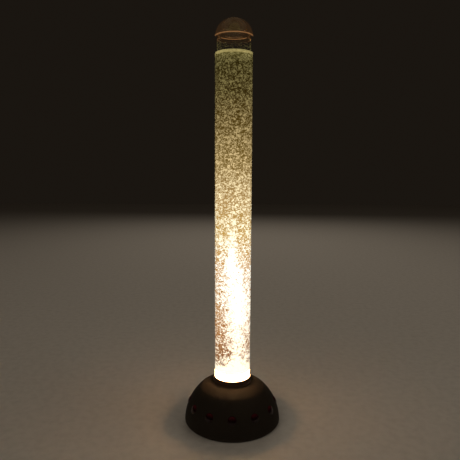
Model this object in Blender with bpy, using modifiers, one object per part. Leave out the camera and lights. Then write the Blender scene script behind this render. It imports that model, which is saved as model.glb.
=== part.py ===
"""Bubble tube lamp: a tall clear tube of water on a domed base with a lamp and an air pump.

Run with: blender --background --python part.py
Lengths are in metres. +Z is up, -Y is the front, and the origin is the middle of the underside.
"""

from math import asin, cos, pi, radians, sin, sqrt

import bmesh
import bpy
from mathutils import Matrix, Vector

COLLECTION_NAME = "bubble_tube_lamp"
CUTTER_COLLECTION_NAME = "cutters"

# Clearances
SEAT_GAP = 0.0003
RUN_GAP = 0.0004
OVERRUN = 0.002
MERGE_DISTANCE = 0.00001

# Roundness of turned pieces
TUBE_SIDES = 48
DOME_SIDES = 48
SMALL_SIDES = 18
TINY_SIDES = 8
CROWN_STEPS = 6
DOME_STEPS = 9
HOLLOW_STEPS = 6
JEWEL_SIDES = 14
JEWEL_STEPS = 3

# Water tube
TUBE_OUTER_DIAMETER = 0.080
TUBE_WALL = 0.004
TUBE_LENGTH = 0.766
AIR_GAP_HEIGHT = 0.0335
FLOOR_THICKNESS = 0.030
FLOOR_SHOWN_HEIGHT = 0.015

# Lift-off cap
CAP_LEDGE = 0.0015
CAP_DOME_RISE = 0.0335
CAP_FLANGE_THICKNESS = 0.003
CAP_SKIRT_DEPTH = 0.010
CAP_SKIRT_WALL = 0.0022
CAP_CROWN_WALL = 0.0025

# Base shell
BASE_RADIUS = 0.1085
BASE_WALL = 0.003
EDGE_HEIGHT = 0.002
LAND_HEIGHT = 0.092
LAND_WIDTH = 0.011
SOCKET_DEPTH = 0.012
LEDGE_THICKNESS = 0.003
LEDGE_LIP = 0.001
GASKET_THICKNESS = 0.0015
COLLAR_HEIGHT = 0.0127
COLLAR_WALL = 0.0027
COLLAR_CHAMFER = 0.0008

# Jewels in a ring round the dome
JEWEL_COUNT = 12
JEWEL_HEIGHT = 0.0445
JEWEL_DIAMETER = 0.019
JEWEL_RISE = 0.0024
JEWEL_BAND = 0.001
JEWEL_SEAT_DEPTH = 0.0013
JEWEL_STUD_DIAMETER = 0.008
JEWEL_STUD_PAST_WALL = 0.0015

# Base plate, feet and screws
PLATE_THICKNESS = 0.0025
PLATE_RECESS = 0.0015
PLATE_EDGE_GAP = 0.0006
FOOT_COUNT = 4
FOOT_DIAMETER = 0.018
FOOT_CHAMFER = 0.0008
FOOT_INSET = 0.0035
SCREW_COUNT = 4
SCREW_SHANK_DIAMETER = 0.0035
SCREW_HEAD_DIAMETER = 0.007
SCREW_HEAD_THICKNESS = 0.0014
SCREW_HEAD_FACE_SHARE = 0.75
SCREW_GRIP = 0.009
BOSS_DIAMETER = 0.009
BOSS_INSET = 0.016
VENT_COUNT = 12
VENT_DIAMETER = 0.007
VENT_OFFSET = 0.014

# Lamp stack, from the clear floor down
LAMP_TO_FLOOR = 0.014
REFLECTOR_DEPTH = 0.022
REFLECTOR_WALL = 0.0014
REFLECTOR_STEPS = 5
NECK_DIAMETER = 0.012
NECK_LENGTH = 0.008
CAPSULE_DIAMETER = 0.007
CAPSULE_LENGTH = 0.020
CAPSULE_SHOULDER = 0.0035
CAPSULE_TIP_DIAMETER = 0.0035
CAPSULE_TIP_LENGTH = 0.0009
CAPSULE_PIN_DIAMETER = 0.001
CAPSULE_PIN_LENGTH = 0.006
CAPSULE_PIN_SPREAD = 0.004
HOLDER_DIAMETER = 0.016
HOLDER_HEIGHT = 0.012
BRACKET_THICKNESS = 0.0015
BRACKET_WIDTH = 0.012
BRACKET_LEG_CLEARANCE = 0.002
BRACKET_END_CLEARANCE = 0.0015
SHROUD_WALL = 0.001
SHROUD_TO_FLOOR = 0.006
SHROUD_CLEARANCE = 0.001
LAMP_AIR_SPACE = 0.0065
ARCH_WIDTH = 0.018
ARCH_HEIGHT = 0.016

# Air line
HOSE_DIAMETER = 0.006
HOSE_LEDGE_CLEARANCE = 0.001
NOZZLE_DIAMETER = 0.006
NOZZLE_FLANGE_DIAMETER = 0.010
NOZZLE_FLANGE_THICKNESS = 0.002
BARB_DIAMETER = 0.005
BARB_LENGTH = 0.005
UPPER_HOSE_LENGTH = 0.006
CHECK_VALVE_DIAMETER = 0.010
CHECK_VALVE_LENGTH = 0.012
HOSE_POINTS = 6

# Air pump: the case is as large as what it holds
PUMP_WALL = 0.002
PUMP_PAD_THICKNESS = 0.003
PUMP_PAD_INSET = 0.003
PUMP_WALL_CLEARANCE = 0.003
COVER_THICKNESS = 0.002
COVER_LIP_DEPTH = 0.0015
COVER_LIP_WALL = 0.0015
CORE_DEPTH = 0.009
CORE_LENGTH = 0.032
CORE_HEIGHT = 0.013
CORE_LEG_LENGTH = 0.009
CORE_BACK = 0.003
COIL_WINDING = 0.0045
POLE_GAP = 0.002
MAGNET_THICKNESS = 0.0035
MAGNET_LENGTH = 0.011
ARM_THICKNESS = 0.0015
ARM_HEIGHT = 0.010
ARM_TIP_LENGTH = 0.009
PIVOT_DIAMETER = 0.003
EYE_WALL = 0.0022
EYE_CLEARANCE = 0.004
DIAPHRAGM_LENGTH = 0.0045
DIAPHRAGM_DIAMETER = 0.014
DIAPHRAGM_TIP_DIAMETER = 0.006
BLOCK_THICKNESS = 0.005
BLOCK_SIZE = 0.018

# Low-voltage inlet and rocker switch, side by side at the back
REAR_HEIGHT = 0.018
INLET_FLANGE_DIAMETER = 0.013
INLET_FLANGE_THICKNESS = 0.0015
INLET_BARREL_DIAMETER = 0.0104
INLET_LENGTH = 0.014
INLET_SOCKET_DIAMETER = 0.006
INLET_SOCKET_DEPTH = 0.009
INLET_PIN_DIAMETER = 0.002
INLET_NUT_DIAMETER = 0.016
INLET_NUT_THICKNESS = 0.0025
INLET_NUT_CLEARANCE = 0.0009
REAR_SEAT_DEPTH = 0.0007
SWITCH_WIDTH = 0.021
SWITCH_TALL = 0.015
SWITCH_BEZEL_THICKNESS = 0.002
SWITCH_BEZEL_RIM = 0.0013
SWITCH_DEPTH = 0.016
SWITCH_WALL = 0.0022
ROCKER_WELL_DEPTH = 0.0055
ROCKER_END_CLEARANCE = 0.0006
ROCKER_THICKNESS = 0.0028
ROCKER_DIP = 0.0012
ROCKER_PIVOT_DEPTH = 0.001
ROCKER_KEEL = 0.001
ROCKER_KEEL_SHARE = 1 / 3
ROCKER_TILT = radians(8)

# Wires
WIRE_DIAMETER = 0.0018
WIRE_LIFT = 0.004
WIRE_SPREAD = 0.003
WIRE_BEND = 0.008
WIRE_BOSS_INDEX = 2

# Sizes that follow
TUBE_RADIUS = TUBE_OUTER_DIAMETER / 2
BORE_RADIUS = TUBE_RADIUS - TUBE_WALL
SOCKET_RADIUS = TUBE_RADIUS + SEAT_GAP
LEDGE_TOP = LAND_HEIGHT - SOCKET_DEPTH
LEDGE_OPENING_RADIUS = BORE_RADIUS - LEDGE_LIP
GASKET_BOTTOM = LEDGE_TOP + SEAT_GAP
TUBE_BOTTOM = GASKET_BOTTOM + GASKET_THICKNESS + SEAT_GAP
RIM_HEIGHT = TUBE_BOTTOM + TUBE_LENGTH
COLLAR_BOTTOM = LAND_HEIGHT + SEAT_GAP
COLLAR_TOP = COLLAR_BOTTOM + COLLAR_HEIGHT
COLLAR_RADIUS = SOCKET_RADIUS + COLLAR_WALL
FLOOR_TOP = COLLAR_TOP + FLOOR_SHOWN_HEIGHT
FLOOR_BOTTOM = FLOOR_TOP - FLOOR_THICKNESS
WATER_RADIUS = BORE_RADIUS - SEAT_GAP
WATER_TOP = RIM_HEIGHT - AIR_GAP_HEIGHT
SHOULDER_RADIUS = COLLAR_RADIUS + LAND_WIDTH
DOME_CREST = LAND_HEIGHT / sqrt(1 - (SHOULDER_RADIUS / BASE_RADIUS) ** 2)
INNER_RADIUS = BASE_RADIUS - BASE_WALL
INNER_CREST = DOME_CREST - BASE_WALL
ROOF_HEIGHT = LAND_HEIGHT - BASE_WALL
PLATE_BOTTOM = EDGE_HEIGHT + PLATE_RECESS
PLATE_TOP = PLATE_BOTTOM + PLATE_THICKNESS
PLATE_RADIUS = INNER_RADIUS - PLATE_EDGE_GAP
DECK_HEIGHT = PLATE_TOP + SEAT_GAP
FOOT_RING_RADIUS = PLATE_RADIUS - FOOT_INSET - FOOT_DIAMETER / 2
BOSS_RING_RADIUS = PLATE_RADIUS - BOSS_INSET
JEWEL_RADIUS = JEWEL_DIAMETER / 2
JEWEL_PITCH = 2 * pi / JEWEL_COUNT
HOSE_RING_RADIUS = LEDGE_OPENING_RADIUS - HOSE_LEDGE_CLEARANCE - HOSE_DIAMETER / 2
SHROUD_OUTER_RADIUS = HOSE_RING_RADIUS - CHECK_VALVE_DIAMETER / 2 - SHROUD_CLEARANCE
SHROUD_INNER_RADIUS = SHROUD_OUTER_RADIUS - SHROUD_WALL
REFLECTOR_RADIUS = SHROUD_INNER_RADIUS - LAMP_AIR_SPACE
REFLECTOR_TOP = FLOOR_BOTTOM - LAMP_TO_FLOOR
NECK_TOP = REFLECTOR_TOP - REFLECTOR_DEPTH
NECK_BOTTOM = NECK_TOP - NECK_LENGTH
HOLDER_TOP = NECK_BOTTOM - SEAT_GAP
HOLDER_BOTTOM = HOLDER_TOP - HOLDER_HEIGHT
BRACKET_TOP = HOLDER_BOTTOM - SEAT_GAP
ARM_SPAN_GAPS = 5 * SEAT_GAP
PUMP_INNER_WIDTH = (
    CORE_DEPTH + POLE_GAP + MAGNET_THICKNESS + ARM_THICKNESS
    + DIAPHRAGM_LENGTH + BLOCK_THICKNESS + ARM_SPAN_GAPS
)
EYE_RADIUS = PIVOT_DIAMETER / 2 + RUN_GAP + EYE_WALL
PUMP_INNER_LENGTH = SEAT_GAP + CORE_LENGTH + 2 * EYE_CLEARANCE + 2 * EYE_RADIUS
COIL_HEIGHT = CORE_HEIGHT + 2 * SEAT_GAP + 2 * COIL_WINDING
PUMP_INNER_HEIGHT = COIL_HEIGHT + 2 * OVERRUN + COVER_LIP_DEPTH
PUMP_WIDTH = PUMP_INNER_WIDTH + 2 * PUMP_WALL
PUMP_LENGTH = PUMP_INNER_LENGTH + 2 * PUMP_WALL
PUMP_BOTTOM = DECK_HEIGHT + PUMP_PAD_THICKNESS + SEAT_GAP
PUMP_FLOOR = PUMP_BOTTOM + PUMP_WALL
PUMP_RIM = PUMP_FLOOR + PUMP_INNER_HEIGHT
PUMP_TOP = PUMP_RIM + SEAT_GAP + COVER_THICKNESS
PUMP_MIDDLE = PUMP_FLOOR + OVERRUN + COIL_HEIGHT / 2


def dome_radius(height, radius=BASE_RADIUS, crest=DOME_CREST):
    """Radius of the dome's surface at a height."""
    return radius * sqrt(1 - (height / crest) ** 2)


PUMP_REACH = sqrt(
    (dome_radius(PUMP_TOP, INNER_RADIUS, INNER_CREST) - PUMP_WALL_CLEARANCE) ** 2
    - (PUMP_LENGTH / 2) ** 2
)
PUMP_OUTER_X = -PUMP_REACH
PUMP_INNER_X = PUMP_OUTER_X + PUMP_WIDTH
PUMP_CENTRE_X = (PUMP_OUTER_X + PUMP_INNER_X) / 2
CORE_BACK_X = PUMP_OUTER_X + PUMP_WALL + SEAT_GAP
CORE_FACE_X = CORE_BACK_X + CORE_DEPTH
MAGNET_X = CORE_FACE_X + POLE_GAP + MAGNET_THICKNESS / 2
ARM_X = MAGNET_X + MAGNET_THICKNESS / 2 + SEAT_GAP + ARM_THICKNESS / 2
DIAPHRAGM_START_X = ARM_X + ARM_THICKNESS / 2 + SEAT_GAP
BLOCK_X = PUMP_INNER_X - PUMP_WALL - SEAT_GAP - BLOCK_THICKNESS / 2
CORE_START_Y = -PUMP_INNER_LENGTH / 2 + SEAT_GAP
CORE_MIDDLE_Y = CORE_START_Y + CORE_LENGTH / 2
PIVOT_Y = PUMP_INNER_LENGTH / 2 - EYE_CLEARANCE - EYE_RADIUS
ARM_TIP_Y = CORE_MIDDLE_Y - MAGNET_LENGTH / 2 - ARM_TIP_LENGTH / 2
BLOCK_Y = 0


def add_collection(name):
    """A collection that the scene shows."""
    collection = bpy.data.collections.new(name)
    bpy.context.scene.collection.children.link(collection)
    return collection


def clear_scene():
    """Remove what the file holds before the model is made."""
    for obj in list(bpy.data.objects):
        bpy.data.objects.remove(obj, do_unlink=True)
    for collection in list(bpy.data.collections):
        bpy.data.collections.remove(collection)


clear_scene()
PARTS = add_collection(COLLECTION_NAME)
CUTTERS = add_collection(CUTTER_COLLECTION_NAME)


def make_material(name, colour, roughness, metallic=0.0, transmission=0.0):
    """A plain Principled material; colour is linear red, green, blue."""
    material = bpy.data.materials.new(name)
    material.use_nodes = True
    shader = material.node_tree.nodes["Principled BSDF"]
    shader.inputs["Base Color"].default_value = (*colour, 1)
    shader.inputs["Roughness"].default_value = roughness
    shader.inputs["Metallic"].default_value = metallic
    shader.inputs["Transmission Weight"].default_value = transmission
    material.diffuse_color = (*colour, 1)
    return material


ACRYLIC = make_material("clear_acrylic", (0.95, 0.95, 0.92), 0.05, transmission=0.9)
WATER = make_material("water", (0.85, 0.78, 0.55), 0.02, transmission=0.9)
SHELL_PLASTIC = make_material("dark_shell_plastic", (0.016, 0.014, 0.012), 0.4)
BLACK_PLASTIC = make_material("black_plastic", (0.01, 0.01, 0.01), 0.5)
JEWEL_RED = make_material("red_jewel", (0.35, 0.01, 0.008), 0.12, transmission=0.4)
RUBBER = make_material("black_rubber", (0.02, 0.02, 0.02), 0.85)
SILICONE = make_material("clear_silicone", (0.7, 0.72, 0.7), 0.4, transmission=0.5)
BRASS = make_material("brass", (0.6, 0.42, 0.16), 0.3, metallic=1.0)
STEEL = make_material("zinc_plated_steel", (0.55, 0.55, 0.56), 0.35, metallic=1.0)
REFLECTOR_GLASS = make_material("mirrored_glass", (0.85, 0.85, 0.82), 0.08, metallic=1.0)
QUARTZ = make_material("quartz_glass", (0.95, 0.95, 0.95), 0.05, transmission=0.95)
CERAMIC = make_material("white_ceramic", (0.8, 0.79, 0.75), 0.6)
ALUMINIUM = make_material("aluminium_sheet", (0.75, 0.75, 0.76), 0.4, metallic=1.0)
GREY_PLASTIC = make_material("grey_plastic", (0.18, 0.18, 0.19), 0.55)
MAGNET_GREY = make_material("ferrite_magnet", (0.04, 0.04, 0.045), 0.6)
COPPER = make_material("enamelled_copper", (0.45, 0.16, 0.05), 0.35, metallic=1.0)
WIRE_RED = make_material("red_wire", (0.4, 0.02, 0.02), 0.5)
WIRE_BLACK = make_material("black_wire", (0.015, 0.015, 0.015), 0.5)


def add_object(name, mesh, material=None):
    """A part when it has a material, else a cutter."""
    obj = bpy.data.objects.new(name, mesh)
    if material:
        PARTS.objects.link(obj)
        mesh.materials.append(material)
    else:
        hide_cutter(obj)
    return obj


def hide_cutter(obj):
    """Keep a cutter in the file, out of the model."""
    CUTTERS.objects.link(obj)
    obj.hide_render = True
    obj.display_type = "WIRE"


def turned(name, profile, sides, material=None, ring=False, frame=None):
    """Turn a profile of (radius, height) about Z. It runs down its outer side; a ring's closes up."""
    mesh = bpy.data.meshes.new(name)
    edges = [(index, index + 1) for index in range(len(profile) - 1)]
    if ring:
        edges.append((len(profile) - 1, 0))
    mesh.from_pydata([(radius, 0, height) for radius, height in profile], edges, [])
    obj = add_object(name, mesh, material)
    screw = obj.modifiers.new("turn", "SCREW")
    screw.steps = screw.render_steps = sides
    screw.use_merge_vertices = True
    screw.merge_threshold = MERGE_DISTANCE
    if frame:
        obj.matrix_world = frame
    return obj


def cylinder(name, radius, bottom, top, material=None, sides=SMALL_SIDES, frame=None, centre=(0, 0)):
    """A solid cylinder between two heights, about an axis through centre."""
    mesh = bpy.data.meshes.new(name)
    shape = bmesh.new()
    bmesh.ops.create_cone(
        shape, cap_ends=True, segments=sides, radius1=radius, radius2=radius, depth=top - bottom
    )
    bmesh.ops.translate(shape, verts=shape.verts, vec=(centre[0], centre[1], (top + bottom) / 2))
    shape.to_mesh(mesh)
    shape.free()
    obj = add_object(name, mesh, material)
    if frame:
        obj.matrix_world = frame
    return obj


def box(name, low, high, material=None, frame=None):
    """A box between its lowest and highest corners."""
    mesh = bpy.data.meshes.new(name)
    shape = bmesh.new()
    bmesh.ops.create_cube(shape, size=1)
    size = [top - bottom for bottom, top in zip(low, high)]
    middle = [(top + bottom) / 2 for bottom, top in zip(low, high)]
    bmesh.ops.scale(shape, verts=shape.verts, vec=size)
    bmesh.ops.translate(shape, verts=shape.verts, vec=middle)
    shape.to_mesh(mesh)
    shape.free()
    obj = add_object(name, mesh, material)
    if frame:
        obj.matrix_world = frame
    return obj


def curve_to_mesh(curve_object, name, material):
    """Replace a curve object by a mesh object in the same place, with its caps welded."""
    bpy.context.view_layer.update()
    evaluated = curve_object.evaluated_get(bpy.context.evaluated_depsgraph_get())
    mesh = bpy.data.meshes.new_from_object(evaluated)
    mesh.name = name
    place = curve_object.matrix_world.copy()
    bpy.data.objects.remove(curve_object, do_unlink=True)
    shape = bmesh.new()
    shape.from_mesh(mesh)
    bmesh.ops.remove_doubles(shape, verts=shape.verts, dist=MERGE_DISTANCE)
    shape.to_mesh(mesh)
    shape.free()
    obj = add_object(name, mesh, material)
    obj.matrix_world = place
    return obj


def prism(name, outline, thickness, material=None, frame=None):
    """A flat outline in X and Y, made as thick as asked about Z = 0."""
    curve = bpy.data.curves.new(name + "_outline", "CURVE")
    curve.dimensions = "2D"
    curve.fill_mode = "BOTH"
    curve.extrude = thickness / 2
    spline = curve.splines.new("POLY")
    spline.points.add(len(outline) - 1)
    for point, (x, y) in zip(spline.points, outline):
        point.co = (x, y, 0, 1)
    spline.use_cyclic_u = True
    drawn = bpy.data.objects.new(name + "_outline", curve)
    PARTS.objects.link(drawn)
    if frame:
        drawn.matrix_world = frame
    return curve_to_mesh(drawn, name, material)


def smooth_route(points, count):
    """Points along a smooth curve through the given ones."""
    ends = [points[0] * 2 - points[1], *points, points[-1] * 2 - points[-2]]
    route = []
    for index in range(1, len(ends) - 2):
        before, start, end, after = ends[index - 1:index + 3]
        for step in range(count):
            share = step / count
            route.append((
                start * 2
                + (end - before) * share
                + (before * 2 - start * 5 + end * 4 - after) * share**2
                + (start * 3 - before - end * 3 + after) * share**3
            ) / 2)
    return route + [points[-1]]


def flexible(name, points, diameter, material, count=2):
    """A round hose or wire along a smooth curve through the points."""
    curve = bpy.data.curves.new(name, "CURVE")
    curve.dimensions = "3D"
    curve.bevel_depth = diameter / 2
    curve.bevel_resolution = 2
    curve.use_fill_caps = True
    route = smooth_route([Vector(point) for point in points], count)
    spline = curve.splines.new("POLY")
    spline.points.add(len(route) - 1)
    for point, place in zip(spline.points, route):
        point.co = (*place, 1)
    curve.materials.append(material)
    obj = bpy.data.objects.new(name, curve)
    PARTS.objects.link(obj)
    return obj


def combine(target, tool, operation):
    """Cut, join or intersect a solid with another, which becomes a cutter."""
    if tool.name in PARTS.objects:
        PARTS.objects.unlink(tool)
        hide_cutter(tool)
    boolean = target.modifiers.new(operation.lower(), "BOOLEAN")
    boolean.operation = operation
    boolean.object = tool
    boolean.solver = "EXACT"


def cut(target, *tools):
    for tool in tools:
        combine(target, tool, "DIFFERENCE")


def join(target, *tools):
    for tool in tools:
        combine(target, tool, "UNION")


def ellipse_arc(radius, crest, high, low, steps, base=0):
    """Points (radius, height) down an ellipse between two heights above its centre at base."""
    start, end = asin(high / crest), asin(low / crest)
    turns = [start + (end - start) * step / steps for step in range(steps + 1)]
    return [(radius * max(0, cos(turn)), base + crest * sin(turn)) for turn in turns]


def dome_frame(azimuth, height):
    """A place on the dome: X level, Y up the dome, Z straight out. Azimuth 0 is the front."""
    radius = dome_radius(height)
    outward = Vector((sin(azimuth), -cos(azimuth), 0))
    level = Vector((cos(azimuth), sin(azimuth), 0))
    normal = outward * (radius / BASE_RADIUS**2) + Vector((0, 0, height / DOME_CREST**2))
    normal.normalize()
    frame = Matrix((level, normal.cross(level), normal)).transposed().to_4x4()
    frame.translation = outward * radius + Vector((0, 0, height))
    return frame


def ring_place(radius, azimuth):
    """X and Y of a point on a ring about the lamp's axis."""
    return radius * sin(azimuth), -radius * cos(azimuth)


def make_tube():
    bottom, top = TUBE_BOTTOM, RIM_HEIGHT
    walls = [(TUBE_RADIUS, top), (TUBE_RADIUS, bottom), (BORE_RADIUS, bottom), (BORE_RADIUS, top)]
    turned("tube", walls, TUBE_SIDES, ACRYLIC, ring=True)

    floor_radius = BORE_RADIUS - SEAT_GAP
    floor = cylinder("tube_floor", floor_radius, FLOOR_BOTTOM, FLOOR_TOP, ACRYLIC, TUBE_SIDES)
    hole = cylinder(
        "nozzle_hole", NOZZLE_DIAMETER / 2 + SEAT_GAP, FLOOR_BOTTOM - OVERRUN, FLOOR_TOP + OVERRUN,
        centre=(-HOSE_RING_RADIUS, 0),
    )
    cut(floor, hole)
    cylinder("water_column", WATER_RADIUS, FLOOR_TOP + SEAT_GAP, WATER_TOP, WATER, TUBE_SIDES)

    gasket_top = GASKET_BOTTOM + GASKET_THICKNESS
    gasket = [
        (TUBE_RADIUS, gasket_top), (TUBE_RADIUS, GASKET_BOTTOM),
        (BORE_RADIUS, GASKET_BOTTOM), (BORE_RADIUS, gasket_top),
    ]
    turned("tube_gasket", gasket, TUBE_SIDES, RUBBER, ring=True)


def make_cap():
    """A dome on a flange that rests on the tube's rim, with a skirt that plugs the bore."""
    seat = RIM_HEIGHT + SEAT_GAP
    flange_top = seat + CAP_FLANGE_THICKNESS
    skirt_radius = BORE_RADIUS - SEAT_GAP
    skirt_inner = skirt_radius - CAP_SKIRT_WALL
    skirt_bottom = seat - CAP_SKIRT_DEPTH
    hollow_rise = CAP_DOME_RISE + CAP_FLANGE_THICKNESS - CAP_CROWN_WALL
    outside = ellipse_arc(
        TUBE_RADIUS - CAP_LEDGE, CAP_DOME_RISE, CAP_DOME_RISE, 0, CROWN_STEPS, base=flange_top
    )
    inside = ellipse_arc(skirt_inner, hollow_rise, hollow_rise, 0, CROWN_STEPS, base=seat)
    profile = [
        *outside, (TUBE_RADIUS, flange_top), (TUBE_RADIUS, seat), (skirt_radius, seat),
        (skirt_radius, skirt_bottom), (skirt_inner, skirt_bottom), *reversed(inside),
    ]
    turned("dome_cap", profile, TUBE_SIDES, ACRYLIC)


def make_collar():
    top, bottom = COLLAR_TOP, COLLAR_BOTTOM
    profile = [
        (COLLAR_RADIUS - COLLAR_CHAMFER, top), (COLLAR_RADIUS, top - COLLAR_CHAMFER),
        (COLLAR_RADIUS, bottom), (SOCKET_RADIUS, bottom), (SOCKET_RADIUS, top),
    ]
    turned("tube_collar", profile, TUBE_SIDES, BLACK_PLASTIC, ring=True)


def make_base_shell():
    """The moulded dome, its socket for the tube, its bosses, and the seats cut in it."""
    outside = ellipse_arc(BASE_RADIUS, DOME_CREST, LAND_HEIGHT, EDGE_HEIGHT, DOME_STEPS)
    inside = ellipse_arc(INNER_RADIUS, INNER_CREST, ROOF_HEIGHT, EDGE_HEIGHT, HOLLOW_STEPS)
    well_radius = SOCKET_RADIUS + BASE_WALL
    ledge_bottom = LEDGE_TOP - LEDGE_THICKNESS
    profile = [
        (SOCKET_RADIUS, LAND_HEIGHT), *outside, *reversed(inside), (well_radius, ROOF_HEIGHT),
        (well_radius, ledge_bottom), (LEDGE_OPENING_RADIUS, ledge_bottom),
        (LEDGE_OPENING_RADIUS, LEDGE_TOP), (SOCKET_RADIUS, LEDGE_TOP),
    ]
    shell = turned("base_shell", profile, DOME_SIDES, SHELL_PLASTIC, ring=True)

    middle_radius = BASE_RADIUS - BASE_WALL / 2
    middle_crest = DOME_CREST - BASE_WALL / 2
    core = ellipse_arc(middle_radius, middle_crest, middle_crest, 0, DOME_STEPS)
    for index in range(SCREW_COUNT):
        x, y = screw_place(index)
        boss = cylinder(f"boss_{index}", BOSS_DIAMETER / 2, DECK_HEIGHT, DOME_CREST, centre=(x, y))
        limit = turned(f"boss_limit_{index}", [*core, (0, 0)], DOME_SIDES)
        combine(boss, limit, "INTERSECT")
        join(shell, boss)
        pilot = cylinder(
            f"boss_hole_{index}", SCREW_SHANK_DIAMETER / 2 + SEAT_GAP, DECK_HEIGHT - OVERRUN,
            DECK_HEIGHT + SCREW_GRIP + OVERRUN, sides=TINY_SIDES, centre=(x, y),
        )
        cut(shell, pilot)
    return shell


def screw_place(index):
    return ring_place(BOSS_RING_RADIUS, (index + 1 / 2) * 2 * pi / SCREW_COUNT)


def make_jewels(shell):
    """Domed red jewels, each on a flat seat cut in the dome, with a stud through its wall."""
    curve_radius = (JEWEL_RADIUS**2 + JEWEL_RISE**2) / (2 * JEWEL_RISE)
    back = SEAT_GAP - JEWEL_SEAT_DEPTH
    girdle = back + JEWEL_BAND
    stud_radius = JEWEL_STUD_DIAMETER / 2
    stud_end = -BASE_WALL - JEWEL_STUD_PAST_WALL
    centre = girdle + JEWEL_RISE - curve_radius
    profile = []
    for step in range(JEWEL_STEPS + 1):
        across = JEWEL_RADIUS * sin(pi / 2 * step / JEWEL_STEPS)
        profile.append((across, centre + sqrt(curve_radius**2 - across**2)))
    profile += [(JEWEL_RADIUS, back), (stud_radius, back), (stud_radius, stud_end), (0, stud_end)]
    seat_radius = JEWEL_RADIUS + SEAT_GAP
    hole_radius = stud_radius + SEAT_GAP
    hole_end = stud_end - BASE_WALL
    seat = [
        (0, JEWEL_RISE), (seat_radius, JEWEL_RISE), (seat_radius, -JEWEL_SEAT_DEPTH),
        (hole_radius, -JEWEL_SEAT_DEPTH), (hole_radius, hole_end), (0, hole_end),
    ]
    for index in range(JEWEL_COUNT):
        frame = dome_frame(index * JEWEL_PITCH, JEWEL_HEIGHT)
        turned(f"jewel_{index + 1:02d}", profile, JEWEL_SIDES, JEWEL_RED, frame=frame)
        cut(shell, turned(f"jewel_seat_{index + 1:02d}", seat, JEWEL_SIDES, frame=frame))


def make_plate():
    """The disc that closes the base, with its vents, screw holes, feet and screws."""
    plate = cylinder("base_plate", PLATE_RADIUS, PLATE_BOTTOM, PLATE_TOP, BLACK_PLASTIC, DOME_SIDES)
    below, above = PLATE_BOTTOM - OVERRUN, PLATE_TOP + OVERRUN
    for index in range(VENT_COUNT):
        x, y = ring_place(SHROUD_OUTER_RADIUS + VENT_OFFSET, (index + 1 / 2) * 2 * pi / VENT_COUNT)
        vent = cylinder(f"vent_{index}", VENT_DIAMETER / 2, below, above, sides=TINY_SIDES, centre=(x, y))
        cut(plate, vent)

    foot_top = PLATE_BOTTOM - SEAT_GAP
    foot_radius = FOOT_DIAMETER / 2
    foot = [
        (0, foot_top), (foot_radius, foot_top), (foot_radius, FOOT_CHAMFER),
        (foot_radius - FOOT_CHAMFER, 0), (0, 0),
    ]
    for index in range(FOOT_COUNT):
        x, y = ring_place(FOOT_RING_RADIUS, index * 2 * pi / FOOT_COUNT)
        place = Matrix.Translation((x, y, 0))
        turned(f"foot_{index + 1}", foot, SMALL_SIDES, RUBBER, frame=place)

    for index in range(SCREW_COUNT):
        add_screw(f"base_screw_{index + 1}", plate, *screw_place(index), SCREW_GRIP + SEAT_GAP)
    return plate


def add_screw(name, plate, x, y, reach):
    """A round-headed screw from below the plate, and its hole in the plate."""
    shank = SCREW_SHANK_DIAMETER / 2
    head = SCREW_HEAD_DIAMETER / 2
    head_top = PLATE_BOTTOM - SEAT_GAP
    head_bottom = head_top - SCREW_HEAD_THICKNESS
    tip = PLATE_TOP + reach
    profile = [
        (0, tip), (shank / 2, tip), (shank, tip - shank), (shank, head_top), (head, head_top),
        (head * SCREW_HEAD_FACE_SHARE, head_bottom), (0, head_bottom),
    ]
    turned(name, profile, TINY_SIDES, STEEL, frame=Matrix.Translation((x, y, 0)))
    hole = cylinder(
        f"{name}_hole", shank + SEAT_GAP, PLATE_BOTTOM - OVERRUN, PLATE_TOP + OVERRUN,
        sides=TINY_SIDES, centre=(x, y),
    )
    cut(plate, hole)


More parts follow.
